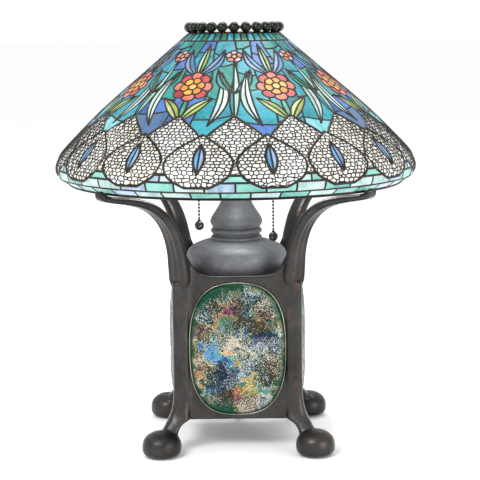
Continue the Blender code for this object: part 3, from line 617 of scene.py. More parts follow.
BRICK_COLOURS = ("brick_mint", "brick_pale", "brick_mint", "brick_blue", "brick_mint", "brick_pale")


def stave_edge(number, drop):
    """Azimuth of a waving line between two tall panes."""
    return number * PERIOD / STAVES + STAVE_WAVE * math.sin(drop / 24 + 2.1 * (number % STAVES))


def field():
    """The blue and turquoise ground: tall panes with waving sides, crossed by joints at uneven drops."""
    draw = random.Random(3)
    joints = [[drop + draw.uniform(-8, 8) for drop in FIELD_JOINTS] for _ in range(STAVES)]
    colours = [[draw.choice(FIELD_COLOURS) for _ in range(len(FIELD_JOINTS) + 1)] for _ in range(STAVES)]
    shape = band("turquoise", -PERIOD, 2 * PERIOD, TOP_DROP, FIELD_END)
    for number in range(-STAVES, 2 * STAVES):
        shape["cuts"].append([(stave_edge(number, drop), drop) for drop in range(-6, int(FIELD_END) + 6, 6)])
        levels = joints[number % STAVES]
        for k, level in enumerate(levels):
            slope = 9.0 if (k + number) % 2 else -7.0
            left, right = stave_edge(number, level) - 0.3, stave_edge(number + 1, level + slope) + 0.3
            middle = ((left + right) / 2, level + slope * 0.5 + 2.5)
            shape["cuts"].append(spline([(left, level), middle, (right, level + slope)], 4))
        ends = [TOP_DROP, *levels, FIELD_END]
        for a, b, colour in zip(ends, ends[1:], colours[number % STAVES]):
            middle = (a + b) / 2
            azimuth = (stave_edge(number, middle) + stave_edge(number + 1, middle)) / 2
            shape["seeds"].append((azimuth, middle, colour))
    return shape


def leaf(start, end, width, colours, bow=0.0):
    """A pointed leaf between two (azimuth, drop) ends, width mm across and bowed sideways.

    Two colours split it along its rib.
    """
    scale = surface.degree((start[1] + end[1]) / 2)
    along = Vector(((end[0] - start[0]) * scale, end[1] - start[1]))
    side = Vector((-along.y, along.x)).normalized()

    def at(t, share):
        spot = along * t + side * math.sin(math.pi * t) * (bow + share * width / 2)
        return start[0] + spot.x / scale, start[1] + spot.y

    inner = [k / 7 for k in range(1, 7)]
    left = [start, *[at(t, 1) for t in inner], end]
    right = [end, *[at(t, -1) for t in inner[::-1]], start]
    shape = pane(colours[0], left, right)
    if len(colours) > 1:
        shape["cuts"] = [[start, *[at(t, 0) for t in inner], end]]
        shape["seeds"] = [(*at(0.5, 0.5), colours[0]), (*at(0.5, -0.5), colours[1])]
    return shape


def petal_ring(azimuth, drop, size, count, colours, turn=0.0):
    """Rounded petals in a ring about a flower's middle."""
    scale = surface.degree(drop)
    half = math.pi / count

    def at(radius, angle):
        return azimuth + radius * math.sin(angle) / scale, drop - radius * math.cos(angle)

    shapes = []
    for k in range(count):
        middle = turn + 2 * half * k
        edge = [at(size * reach, middle + half * share)
                for reach, share in ((0.74, -1.08), (0.93, -0.7), (1.0, 0.0), (0.93, 0.7), (0.74, 1.08))]
        heart = (azimuth, drop)
        shapes.append(pane(colours[k % len(colours)], [heart, edge[0]], edge, [edge[-1], heart]))
    return shapes


def disc(azimuth, drop, radius, colour):
    """The round heart of a flower."""
    scale = surface.degree(drop)
    ring = [(azimuth + radius * math.sin(a) / scale, drop - radius * math.cos(a))
            for a in (2 * math.pi * k / 10 for k in range(10))]
    return pane(colour, [*ring, ring[0]])


def flower(azimuth):
    """A large double flower with its leaves."""
    shapes = []
    for side in (-1, 1):
        shapes += [
            leaf((azimuth, 152), (azimuth + side * 12.5, 112), 13, ("leaf", "leaf_pale"), side * -4),
            leaf((azimuth + side * 12, 158), (azimuth + side * 15, 66), 13, ("white", "mint"), side * 9),
            leaf((azimuth, 74), (azimuth + side * 15, 26), 12, ("sky", "lavender"), side * 5),
        ]
    shapes.append(leaf((azimuth, 150), (azimuth, 104), 7, ("jade",)))
    shapes.append(leaf((azimuth, 76), (azimuth, 16), 10, ("leaf", "mint")))
    shapes += petal_ring(azimuth, FLOWER_DROP, 25.0, 8, ("coral", "red"))
    shapes += petal_ring(azimuth, FLOWER_DROP, 15.5, 6, ("orange", "amber"), 0.3)
    shapes.append(disc(azimuth, FLOWER_DROP, 5.5, "yellow"))
    return shapes


def bud(azimuth):
    """A small flower on a stem, with two dark leaves."""
    shapes = [leaf((azimuth, 152), (azimuth, BUD_DROP), 7, ("mint",), 2.5)]
    for side in (-1, 1):
        shapes.append(leaf((azimuth, 104), (azimuth + side * 10, 62), 11, ("green", "teal"), side * 4))
    shapes += petal_ring(azimuth, BUD_DROP, 10.5, 5, ("pink", "coral"))
    shapes.append(disc(azimuth, BUD_DROP, 3.6, "amber"))
    return shapes


def petal_loop(row, number):
    """The outline of one netted petal: pointed above, full in the middle and narrow at its foot."""
    start, tip, widest, foot, reach = PETAL_ROWS[row]
    middle = start + number * PERIOD / PETALS
    shares = ((0.34, tip + (widest - tip) * 0.24), (0.78, tip + (widest - tip) * 0.6), (1.0, widest),
              (0.84, widest + (foot - widest) * 0.6), (0.34, foot))
    right = [(middle, tip), *[(middle + share * reach, drop) for share, drop in shares]]
    left = [(middle - share * reach, drop) for share, drop in reversed(shares)]
    return outline(right, [right[-1], left[0]], [*left, (middle, tip)])


def petals():
    """Both rows of netted petals, the lower row last so that it lies on top."""
    shapes = []
    for row in range(len(PETAL_ROWS)):
        for number in range(-PETALS, 2 * PETALS):
            loop = petal_loop(row, number)
            shapes.append(area(loop, "frosted", "netted"))
    for turn in QUARTER_TURNS:
        shapes += [moved(shape, turn * PERIOD) for shape in petal_ribs()]
    return shapes


def petal_ribs():
    """A slim blue pane down the middle of each petal of the lower row, over one quarter."""
    start, tip = PETAL_ROWS[1][:2]
    middles = [start + number * PERIOD / PETALS for number in range(PETALS)]
    return [leaf((middle, tip + 14), (middle, tip + 58), 13, ("sky", "lavender")) for middle in middles]


def border():
    """Rows of bricks in running bond. The first two rows show only between the petals' feet."""
    draw = random.Random(5)
    step = PERIOD / BRICKS
    shapes = []
    for row, (top, bottom) in enumerate(zip(BRICK_EDGES, BRICK_EDGES[1:])):
        colours = [draw.choice(BRICK_COLOURS) for _ in range(BRICKS)]
        starts = [(k + 0.5 * (row % 2)) * step for k in range(-BRICKS, 2 * BRICKS - 1)]
        level = (top + bottom) / 2
        seeds = [(start + step / 2, level, colours[k % BRICKS]) for k, start in enumerate(starts)]
        shapes.append(band("brick_mint", -PERIOD, 2 * PERIOD, top, bottom, starts, seeds))
    return shapes


def whole_pattern():
    """Every shape, lowest first, over the repeating quarter and some way past both its ends."""
    shapes = [field(), *border()]
    step, level = PERIOD / CROWN_PANES, (TOP_DROP + CROWN_END) / 2
    crown = [k * step for k in range(-CROWN_PANES, 2 * CROWN_PANES)]
    crown_seeds = [(a + step / 2, level, colour) for a, colour in zip(crown, cycle(CROWN_COLOURS))]
    for turn in QUARTER_TURNS:
        for middle in (SECTOR / 2, SECTOR * 1.5):
            shapes += [moved(shape, turn * PERIOD) for shape in bud(middle - SECTOR / 2)]
            shapes += [moved(shape, turn * PERIOD) for shape in flower(middle)]
    shapes.append(band("teal", -PERIOD, 2 * PERIOD, TOP_DROP, CROWN_END, crown, crown_seeds))
    return shapes + petals()


# ---------- pattern: cutting it into panes

def signed_area(loop):
    """Positive for a loop that runs the way the cutting expects a face to run."""
    return sum(a[0] * b[1] - b[0] * a[1] for a, b in zip(loop, loop[1:] + loop[:1])) / 2


class Partition:
    """The pattern's shapes cut against each other into triangles, and those grouped into panes."""

    POINT_STEP = 3.6         # between points along a line
    GRID_STEP = 2.5          # degrees between the extra points that let panes follow the curve
    GRID_ROW = 7.0           # and mm between their rows
    NEAR = 5.0               # about how far an extra point stays from the pattern's own points
    PLANE_SCALE = 3.0        # mm to the degree in the flat drawing that is cut up

    def __init__(self, shapes):
        self.shapes = shapes
        self.cut_up()
        self.group_panes()

    def cut_up(self):
        """Cuts all shapes at once. A triangle belongs to the topmost shape over it."""
        points, edges, faces, owners = [], [], [], {}

        def add_line(line):
            first = len(points)
            points.extend(Vector((a * self.PLANE_SCALE, d)) for a, d in line)
            return list(range(first, len(points)))

        for number, shape in enumerate(self.shapes):
            loop = thinned(shape["loop"], self.POINT_STEP, True)
            faces.append(add_line(loop if signed_area(loop) > 0 else loop[::-1]))
            for cut in shape["cuts"]:
                chain = add_line(thinned(cut, self.POINT_STEP, False))
                for pair in zip(chain, chain[1:]):
                    owners[len(edges)] = number
                    edges.append(pair)
        taken = {(round(p.x / self.NEAR), round(p.y / self.NEAR)) for p in points}
        low, high = WINDOW_START - MARGIN, WINDOW_START + PERIOD + MARGIN
        for i in range(int((high - low) / self.GRID_STEP)):
            for j in range(1, int(RIM_DROP / self.GRID_ROW) + 1):
                azimuth = low + (i + 0.5 * (j % 2)) * self.GRID_STEP
                spot = Vector((azimuth * self.PLANE_SCALE, self.GRID_ROW * j))
                if (round(spot.x / self.NEAR), round(spot.y / self.NEAR)) not in taken:
                    points.append(spot)
        result = delaunay_2d_cdt(points, edges, faces, 1, 1e-4)
        self.points, _, self.triangles, _, edge_origins, face_origins = result
        self.tops = [max(origin) if origin else -1 for origin in face_origins]
        self.cut_owners = defaultdict(set)
        for (a, b), origin in zip(result[1], edge_origins):
            for number in origin:
                if number in owners:
                    self.cut_owners[frozenset((a, b))].add(owners[number])

    def group_panes(self):
        """Joins triangles that no seam divides."""
        self.sides = defaultdict(list)
        for number, corners in enumerate(self.triangles):
            for a, b in zip(corners, (*corners[1:], corners[0])):
                self.sides[frozenset((a, b))].append(number)
        self.group = [-1] * len(self.triangles)
        self.panes = []
        for start in range(len(self.triangles)):
            if self.group[start] >= 0 or self.tops[start] < 0:
                continue
            members, queue = [], [start]
            self.group[start] = len(self.panes)
            while queue:
                number = queue.pop()
                members.append(number)
                corners = self.triangles[number]
                for a, b in zip(corners, (*corners[1:], corners[0])):
                    side = frozenset((a, b))
                    if self.tops[start] in self.cut_owners.get(side, ()):
                        continue
                    for other in self.sides[side]:
                        if self.group[other] < 0 and self.tops[other] == self.tops[start]:
                            self.group[other] = len(self.panes)
                            queue.append(other)
            self.panes.append(members)

    def spot(self, point):
        """(azimuth, drop) of a cut-up point."""
        return self.points[point].x / self.PLANE_SCALE, self.points[point].y

    def middle(self, members):
        """The area of a group of triangles in square mm, and its centre as (azimuth, drop)."""
        total, x, y = 0.0, 0.0, 0.0
        for number in members:
            (ax, ay), (bx, by), (cx, cy) = (self.points[i] for i in self.triangles[number])
            size = abs((bx - ax) * (cy - ay) - (cx - ax) * (by - ay)) / 2
            total += size
            x += size * (ax + bx + cx) / 3
            y += size * (ay + by + cy) / 3
        scale = surface.degree(y / total) / self.PLANE_SCALE if total else 1.0
        return total * scale, (x / total / self.PLANE_SCALE, y / total) if total else (0.0, 0.0)

    def colour(self, shape, centre):
        """A pane's colour: its shape's own, or that of the seed nearest to its centre."""
        if not shape["seeds"]:
            return shape["colour"]
        scale = surface.degree(centre[1])
        return min(shape["seeds"], key=lambda s: math.hypot((s[0] - centre[0]) * scale, s[1] - centre[1]))[2]

    def seams(self):
        """Edges between panes inside the window, as {kind of pane: [(point, point)]}."""
        found = defaultdict(list)
        for side, numbers in self.sides.items():
            groups = {self.group[n] for n in numbers}
            if len(groups) < 2 and len(numbers) == 2:
                continue
            a, b = side
            azimuth = (self.spot(a)[0] + self.spot(b)[0]) / 2
            if not in_window(azimuth):
                continue
            kinds = {self.shapes[self.tops[n]]["kind"] for n in numbers if self.tops[n] >= 0}
            found["netted" if "netted" in kinds else "pane"].append((a, b))
        return found


def in_window(azimuth):
    return WINDOW_START <= azimuth < WINDOW_START + PERIOD


def chains(edges):
    """Joins edges end to end into lines that run between junctions."""
    links = defaultdict(list)
    for a, b in edges:
        links[a].append(b)
        links[b].append(a)
    used, lines = set(), []

    def walk(start, following):
        line = [start, following]
        used.add(frozenset((start, following)))
        while len(links[line[-1]]) == 2:
            ahead = [p for p in links[line[-1]] if frozenset((line[-1], p)) not in used]
            if not ahead:
                break
            used.add(frozenset((line[-1], ahead[0])))
            line.append(ahead[0])
        return line

    starts = [p for p in links if len(links[p]) != 2] + [p for p in links if len(links[p]) == 2]
    for start in starts:
        for following in links[start]:
            if frozenset((start, following)) not in used:
                lines.append(walk(start, following))
    return lines


# ---------- shade: glass, came and filigree

def pane_slab(bm, layer, partition, members, number):
    """Adds one pane to a mesh as a closed slab of glass, tilted very slightly like a hand-set piece."""
    draw = random.Random(number)
    tilt_across, tilt_down = draw.uniform(-GLASS_TILT, GLASS_TILT), draw.uniform(-GLASS_TILT, GLASS_TILT)
    _, (azimuth, drop) = partition.middle(members)
    scale = surface.degree(drop)
    value = draw.random()
    rings = ({}, {})
    rim = defaultdict(int)
    for triangle in members:
        corners = partition.triangles[triangle]
        for a, b in zip(corners, (*corners[1:], corners[0])):
            rim[(a, b)] += 1
            rim[(b, a)] -= 1
        for point in corners:
            if point in rings[0]:
                continue
            a, d = partition.spot(point)
            lean = (a - azimuth) * scale * tilt_across + (d - drop) * tilt_down
            lean = max(-GLASS_LEAN, min(GLASS_LEAN, lean))
            for ring, lift in zip(rings, (GLASS_HALF + lean, -GLASS_HALF + lean)):
                vert = bm.verts.new(surface.place(a, d, lift))
                vert[layer] = value
                ring[point] = vert
    outer, inner = rings
    for triangle in members:
        corners = partition.triangles[triangle]
        bm.faces.new([outer[p] for p in corners])
        bm.faces.new([inner[p] for p in reversed(corners)])
    for (a, b), count in rim.items():
        if count > 0:
            bm.faces.new((outer[b], outer[a], inner[a], inner[b]))


def glass_slot(colour):
    """The record's material slot for a colour of glass."""
    if colour == "frosted":
        return "net_glass"
    return "mint_glass" if "mint" in colour or "brick" in colour else "teal_glass"


def build_shade_glass(partition, finishes):
    """One mesh of panes for each colour of glass, shared by the four quarters of the shade."""
    meshes = {}
    for number, members in enumerate(partition.panes):
        size, centre = partition.middle(members)
        if size < SMALLEST_PANE or not in_window(centre[0]):
            continue
        shape = partition.shapes[partition.tops[members[0]]]
        colour = partition.colour(shape, centre)
        if colour not in meshes:
            bm = bmesh.new()
            meshes[colour] = (bm, bm.verts.layers.float.new("pane"))
        pane_slab(*meshes[colour], partition, members, number)
    for colour, (bm, _) in meshes.items():
        finish = finishes["glass"][colour]
        first = new_object("panes", bm, finish, "shade", glass_slot(colour), smooth_angle=30)
        turned_copies(first, f"glass_{colour}", QUADRANTS)


def build_cames(partition, finish):
    """Soldered lead along every seam between panes."""
    radii = {"pane": CAME_RADIUS, "netted": NETTED_CAME_RADIUS}
    for kind, edges in partition.seams().items():
        lines = []
        for chain in chains(edges):
            lines.append([surface.place(*partition.spot(point)) for point in chain])
        first = tube_curve("came", lines, radii[kind] * MM, finish, "shade", 2)
        turned_copies(first, f"came_{kind}", QUADRANTS)


def inside(loop, azimuth, drop):
    """Whether a spot is inside a closed loop."""
    crossed = False
    for (ax, ay), (bx, by) in zip(loop, loop[1:] + loop[:1]):
        if (ay > drop) != (by > drop) and azimuth < (bx - ax) * (drop - ay) / (by - ay) + ax:
            crossed = not crossed
    return crossed


def trimmed(run, loop, above):
    """The parts of a line that lie inside a petal and under none of the shapes above it."""
    def shown(spot):
        return inside(loop, *spot) and not any(inside(other, *spot) for other in above)

    def crossing(kept, hidden):
        for _ in range(6):
            middle = ((kept[0] + hidden[0]) / 2, (kept[1] + hidden[1]) / 2)
            if shown(middle):
                kept = middle
            else:
                hidden = middle
        return kept

    pieces, piece = [], []
    for here, there in zip(run, run[1:]):
        if shown(here):
            piece = piece or [here]
            if shown(there):
                piece.append(there)
                continue
            pieces.append([*piece, crossing(here, there)])
            piece = []
        elif shown(there):
            piece = [crossing(there, here), there]
    return pieces + [piece] if len(piece) > 1 else pieces


def net_lines(loop, above, draw):
    """An open net of uneven honeycomb cells over one petal."""
    left, top = min(a for a, _ in loop), min(d for _, d in loop)
    right, bottom = max(a for a, _ in loop), max(d for _, d in loop)
    cell = NET_CELL / surface.degree((top + bottom) / 2)
    rows = int((bottom - top) / NET_ROW) + 2
    boundaries = [[] for _ in range(rows + 1)]
    runs = []
    for row in range(rows):
        for column in range(int((right - left) / cell) + 2):
            azimuth = left + (column - 0.5 * (row % 2) + draw.uniform(-0.3, 0.3)) * cell
            ends = []
            for boundary, pull in ((row, 1), (row + 1, -1)):
                drop = top + (boundary - 0.5 + pull * 0.12 + draw.uniform(-0.22, 0.22)) * NET_ROW
                ends.append((azimuth + draw.uniform(-0.2, 0.2) * cell, drop))
                boundaries[boundary].append(ends[-1])
            runs.append(ends)
    runs += [sorted(boundary) for boundary in boundaries]
    return [piece for run in runs for piece in trimmed(run, loop, above)]


def build_filigree(finish):
    """Open metalwork over the petals, trimmed where another shape lies on top."""
    draw = random.Random(7)
    ribs = petal_ribs()
    for row, name in enumerate(("upper", "lower")):
        lines = []
        for number in range(PETALS):
            above = [ribs[number]["loop"]]
            if row == 0:
                above = [petal_loop(1, number - 1), petal_loop(1, number)]
            lines += net_lines(petal_loop(row, number), above, draw)
        placed = [[surface.place(a, d, GLASS_HALF + 0.1) for a, d in line] for line in lines]
        first = tube_curve("filigree", placed, NET_RADIUS * MM, finish, "shade", 0)
        turned_copies(first, f"filigree_{name}", QUADRANTS)


# ---------- shade: metal trim

def build_shade_trim(finishes):
    """The crown of beads on its wire, the band under it and the bead round the rim."""
    dark = finishes["dark"]
    low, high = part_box("shade_bead_ring")
    radius, height = BEAD_RING_RADIUS * MM, (high.z + low.z) / 2
    beads = bmesh.new()
    for k in range(BEAD_COUNT):
        angle = 2 * math.pi * k / BEAD_COUNT
        spot = Matrix.Translation((radius * math.cos(angle), radius * math.sin(angle), height))
        bmesh.ops.create_uvsphere(beads, u_segments=24, v_segments=16, radius=BEAD_RADIUS * MM, matrix=spot)
    stand_in("shade_bead_ring", "crown_beads", beads, dark, "shade", "blackened_brass")
    wire = lathe(oval(radius / MM, height / MM, CROWN_WIRE_RADIUS, CROWN_WIRE_RADIUS, 10), 96)
    new_object("crown_wire", wire, dark, "shade", "blackened_brass")
    low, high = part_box("shade_top_band")
    outer, bottom, top = high.x / MM, low.z / MM, high.z / MM
    profile = [(outer - 3.0, bottom + 0.6), (outer - 2.4, bottom),
               (outer - 0.6, bottom), (outer, bottom + 0.6),
               (outer, top - 0.6), (outer - 0.6, top),
               (outer - 2.4, top), (outer - 3.0, top - 0.6)]
    stand_in("shade_top_band", "crown_band", lathe(profile, 120), dark, "shade", "blackened_brass")
    low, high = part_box("shade_rim_band")
    middle, level = high.x / MM - RIM_BEAD_HALF[0], (low.z + high.z) / 2 / MM
    rim = lathe(oval(middle, level, *RIM_BEAD_HALF, 12), 160)
    stand_in("shade_rim_band", "rim_bead", rim, finishes["lead"], "shade", "blackened_brass")


# ---------- base: castings

def corner_point(reach, height, across=0.0):
    """A point near the front right corner: reach out along the diagonal and across it, in mm."""
    return (DIAGONAL * reach + ACROSS * across + UP * height) * MM


def rings_along(path, sections):
    """Places sections of (across, out) points square to a path of (reach, height) points, in mm."""
    rings = []
    for k, (reach, height) in enumerate(path):
        before, after = path[max(k - 1, 0)], path[min(k + 1, len(path) - 1)]
        ahead = Vector((after[0] - before[0], after[1] - before[1])).normalized()
        rings.append([corner_point(reach + ahead.y * out, height - ahead.x * out, across)
                      for across, out in sections[k]])
    return rings


def add_to(bm, other, turn=0.0):
    """Moves the geometry of one bmesh into another, turned about the lamp's axis."""
    mesh = bpy.data.meshes.new("part")
    other.to_mesh(mesh)
    mesh.transform(Matrix.Rotation(turn, 4, "Z"))
    bm.from_mesh(mesh)
    bpy.data.meshes.remove(mesh)


LEG_SECTIONS = [          # height, and how far a post's inner and outer sides are from the lamp's axis
    (217.0, 61.0, 81.0), (150.0, 61.0, 81.0), (100.0, 61.0, 81.1), (73.0, 61.0, 81.6), (59.0, 60.8, 83.2),
    (50.0, 60.4, 85.6), (45.5, 60.2, 87.4), (42.5, 61.0, 89.0), (40.0, 65.8, 90.4), (37.0, 70.2, 92.2),
    (33.0, 73.2, 94.4), (28.0, 75.4, 97.2), (22.0, 77.0, 100.5),
]
FOOT_PROFILE = [          # (radius, height)
    (0, 2.0), (18.5, 2.0), (22.4, 3.6), (24.3, 7.6), (24.6, 12.5),
    (24.2, 17.5), (22.4, 22.5), (18.4, 27.0), (12.0, 30.8), (0, 33.5),
]
ARM_STATIONS = [          # (reach, height) of the arm's middle, and its half width and half depth there
    (100.4, 198.0, 9.0, 5.0), (100.4, 210.0, 12.4, 8.0), (100.5, 220.0, 15.2, 9.6),
    (102.4, 234.0, 14.8, 9.2), (105.5, 253.0, 13.6, 8.2), (111.0, 272.0, 12.8, 7.6),
    (119.0, 288.0, 12.2, 7.1), (130.0, 301.5, 11.6, 6.7), (145.0, 313.0, 10.8, 6.2),
    (163.0, 320.8, 10.0, 5.7), (184.0, 325.7, 9.2, 5.1), (205.0, 329.2, 8.2, 4.5),
    (218.0, 332.0, 7.6, 4.5), (225.0, 335.9, 7.0, 5.2), (227.5, 341.5, 4.6, 4.2),
]
PANEL_CORNERS = [(64.0, 41.5), (64.0, 244.0)]
PANEL_TOP = [             # from the tip of an ear down to the panel's top edge
    (61.4, 250.5), (58.9, 245.0), (54.6, 236.2), (48.8, 229.6), (38.0, 225.4), (20.0, 224.4),
]
FILLET_HEIGHTS = (42.5, 173.5)    # where the hollow beside a post starts, and its length
FILLET_LEVELS = 30
FILLET_GAP = 2.4                  # from the tile's edge to the hollow
FILLET_START = (48.0, 60.8)       # the nearest and farthest from the middle that the hollow starts
FILLET_END = 62.5


def leg_mesh():
    """A post with its leg, and the ball foot under it."""
    rings = []
    for height, inner, outer in spline(LEG_SECTIONS, 4):
        middle, half = (outer + inner) / 2, (outer - inner) / 2
        section = superellipse(half, half, SECTION_POWER, 40)
        rings.append([Vector((middle + x, y - middle, height)) * MM for x, y in section])
    foot = lathe(FOOT_PROFILE, 48)
    bmesh.ops.translate(foot, vec=corner_point(FOOT_CENTRE * math.sqrt(2), 0.0), verts=foot.verts)
    return [loft(rings), foot]


def arm_section(width, depth):
    """The arm's outline: a flat inner face, and three fine ridges along the outer one."""
    points = []
    for across, out in superellipse(width, depth, SECTION_POWER, 64):
        if out > 0:
            out *= 0.84 + 0.16 * math.cos(3 * math.pi * across / width)
        points.append((across, out))
    return points


def arm_mesh():
    stations = spline(ARM_STATIONS, 5)
    path = [(reach, height) for reach, height, _, _ in stations]
    return loft(rings_along(path, [arm_section(width, depth) for _, _, width, depth in stations]))


def tile_outline(margin, count):
    """(x, height) points round a tile, a margin outside its edge."""
    points = superellipse(TILE_SIZE[0] + margin, TILE_SIZE[1] + margin, TILE_POWER, count)
    return [(x, z + TILE_CENTRE) for x, z in points]


def panel_mesh():
    """A side plate with the tile opening, and ears whose inner edges sweep up into the arms."""
    half = PANEL_CORNERS + spline(PANEL_TOP, 4)
    border = half + [(-x, z) for x, z in reversed(half)]
    hole = tile_outline(TILE_CLEARANCE, 96)
    low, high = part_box("side_panel_front")
    bm = bmesh.new()
    edges = []
    for loop in (border, hole):
        verts = [bm.verts.new((x * MM, low.y, z * MM)) for x, z in loop]
        edges += [bm.edges.new((a, b)) for a, b in zip(verts, verts[1:] + verts[:1])]
    bmesh.ops.triangle_fill(bm, use_beauty=True, use_dissolve=False, edges=edges)
    extruded = bmesh.ops.extrude_face_region(bm, geom=list(bm.faces), use_keep_orig=True)
    verts = [item for item in extruded["geom"] if isinstance(item, bmesh.types.BMVert)]
    bmesh.ops.translate(bm, verts=verts, vec=(0.0, high.y - low.y, 0.0))
    bmesh.ops.recalc_face_normals(bm, faces=bm.faces)
    return bm


def corner_fillet(side):
    """The hollow that joins a panel's face to the post beside it, as wide as the tile leaves room for."""
    rings = []
    bottom, length = FILLET_HEIGHTS
    for k in range(FILLET_LEVELS):
        height = bottom + length * k / (FILLET_LEVELS - 1)
        share = min(1.0, abs(height - TILE_CENTRE) / (TILE_SIZE[1] + FILLET_GAP))
        tile_edge = (TILE_SIZE[0] + FILLET_GAP) * (1 - share ** TILE_POWER) ** (1 / TILE_POWER)
        start = min(FILLET_START[1], max(FILLET_START[0], tile_edge))
        width = FILLET_END - start
        section = [(start, 75.0), (start, 77.0), (start + width * 0.45, 77.5), (start + width * 0.75, 78.6),
                   (FILLET_END, 80.6), (FILLET_END, 75.0)]
        rings.append([Vector((side * x, -y, height)) * MM for x, y in section])
    bm = loft(rings)
    bmesh.ops.recalc_face_normals(bm, faces=bm.faces)
    return bm


def cast_part(x, y, z):
    """Which casting a spot on the fused base belongs to, in mm."""
    upper = z > CAST_SPLIT
    if min(abs(x), abs(y)) < (EAR_SPLIT if upper else PANEL_SPLIT):
        if abs(x) < abs(y):
            return "side_panel_front" if y < 0 else "side_panel_back"
        return "side_panel_right" if x > 0 else "side_panel_left"
    corner = ("front" if y < 0 else "back") + ("_right" if x > 0 else "_left")
    return ("shade_arm_" if upper else "corner_post_") + corner


def build_castings(finishes):
    """Melts the base's castings together so that their joints are soft, then parts them again."""
    solids = [*leg_mesh(), arm_mesh(), panel_mesh(), corner_fillet(1), corner_fillet(-1)]
    bm = bmesh.new()
    for solid in solids:
        bmesh.ops.recalc_face_normals(solid, faces=solid.faces)
        for turn in range(4):
            add_to(bm, solid, turn * math.pi / 2)
        solid.free()
    whole = new_object("castings", bm, finishes["bronze"])
    remesh = whole.modifiers.new("fuse", "REMESH")
    remesh.mode = "VOXEL"
    remesh.voxel_size = CAST_VOXEL * MM
    smooth = whole.modifiers.new("soften", "SMOOTH")
    smooth.iterations = 9
    smooth.factor = 0.6
    bpy.context.view_layer.update()
    evaluated = whole.evaluated_get(bpy.context.evaluated_depsgraph_get())
    fused = bpy.data.meshes.new_from_object(evaluated)
    bpy.data.objects.remove(whole)
    normals = [vert.normal.copy() for vert in fused.vertices]
    members = defaultdict(list)
    for face in fused.polygons:
        members[cast_part(*(face.center / MM))].append(face)
    for node, faces in members.items():
        numbers = {}
        corners = [[numbers.setdefault(v, len(numbers)) for v in face.vertices] for face in faces]
        mesh = bpy.data.meshes.new(node)
        mesh.from_pydata([fused.vertices[v].co for v in numbers], [], corners)
        mesh.shade_smooth()
        mesh.normals_split_custom_set_from_vertices([normals[v] for v in numbers])
        mesh.materials.append(finishes["bronze"])
        piece = new_object("cast_" + node, mesh, finishes["bronze"], "base", "bronze")
        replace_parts(piece, node)
    bpy.data.meshes.remove(fused)


def tile_height(x, z, share, crown):
    """How far the tile's face stands out from its back, where share is 1 at its edge and 0 in its middle.

    A broad dome, pitted by waves of noise that fade towards the edge.
    """
    spot = Vector((x, z, 3.0)) * 0.045
    wave = noise.fractal(spot, 0.9, 2.1, 4) * 2.0 + noise.noise(spot * 4.5) * 0.9
    fade = min(1.0, (1 - share) * 9)
    rise = 1 - share ** 4.2
    dome = (crown - TILE_EDGE) * (0.30 + 0.70 * rise if share < 1 else 0.0)
    return min(TILE_EDGE + dome - fade * abs(wave) * 0.9, crown)


def build_tiles(finishes):
    """Turtleback tiles: a domed slab of poured glass whose face is uneven all over."""
    low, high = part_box("glass_tile_front")
    back, crown = high.y / MM, (high.y - low.y) / MM
    bm = bmesh.new()
    heart = bm.verts.layers.float.new("heart")
    base_outline = superellipse(TILE_SIZE[0], TILE_SIZE[1], TILE_POWER, TILE_POINTS)
    rings = []
    for ring in range(TILE_RINGS + 1):
        share = 1 - (ring / TILE_RINGS)
        verts = []
        for x, z in (base_outline if ring < TILE_RINGS else [(0.0, 0.0)]):
            px, pz = x * share, z * share
            depth = back - tile_height(px, pz, share, crown)
            vert = bm.verts.new((px * MM, depth * MM, (pz + TILE_CENTRE) * MM))
            vert[heart] = max(0.0, 1 - share ** 1.4)
            verts.append(vert)
        rings.append(verts)
    foot = [bm.verts.new((x * MM, back * MM, (z + TILE_CENTRE) * MM)) for x, z in base_outline]
    bm.faces.new(foot)
    for outer, inner in zip([foot, *rings], rings):
        skin(bm, outer, inner)
    piece = new_object("tile", bm, finishes["tile"], "base", "tile_glass", smooth_angle=70)
    turned_copies(piece, "turtleback", QUADRANTS, "glass_tile")
    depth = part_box("tile_bezel_front")[0].y + BEZEL_OFFSET * MM
    rim = [Vector((x * MM, depth, z * MM)) for x, z in tile_outline(BEZEL_OFFSET, 120)]
    bezel = tube_curve("bezel", [rim + rim[:1]], BEZEL_RADIUS * MM, finishes["rim"], "base", 3)
    turned_copies(bezel, "bezel", QUADRANTS, "tile_bezel")


# ---------- middle column

def build_column(finishes):
    """The turned bowl, ring and cone between the arms, from outlines of (radius, height)."""
    hole = COLUMN_HOLE
    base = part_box("bowl")[0].z / MM
    outer = spline([(50.0, base), (57.5, 215.5), (63.0, 227.0), (64.5, 238.0), (62.3, 246.5), (55.5, 252.8),
                    (44.0, 257.6), (33.5, 260.4)], 6)
    outer += [(32.6, 261.0), (33.2, 262.4), (32.8, 263.8), (31.6, 265.0), (29.5, 265.3), (hole, 265.3)]
    inner = [(hole, 263.0), (28.6, 263.0), (30.0, 260.0), (43.0, 255.6), (54.0, 250.8), (60.3, 245.5),
             (62.4, 238.0), (61.0, 227.6), (55.5, 217.0), (48.0, base)]
    ring = [(hole, 265.6), (29.4, 265.6)]
    ring += spline([(29.6, 266.0), (30.4, 267.8), (32.4, 269.6), (33.0, 271.6), (32.0, 273.8),
                    (30.2, 275.2)], 4)
    ring += [(29.6, 275.6), (hole, 275.6)]
    cone = [(hole, 275.9), (30.0, 275.9)]
    cone += spline([(30.4, 276.2), (31.6, 278.4), (33.2, 281.2), (33.4, 284.4), (31.4, 289.6), (26.2, 297.6),
                    (20.9, 306.6), (16.8, 318.4), (13.9, 332.0), (12.4, 345.0)], 5)
    cone += [(hole, 345.0)]
    turned = (
        ("bowl", "vase_bowl", outer + inner),
        ("neck_ring", "vase_ring", ring),
        ("neck_cone", "vase_neck", cone),
    )
    for node, name, profile in turned:
        stand_in(node, name, lathe(profile, 96), finishes["pewter"], "base", "pewter", 50)


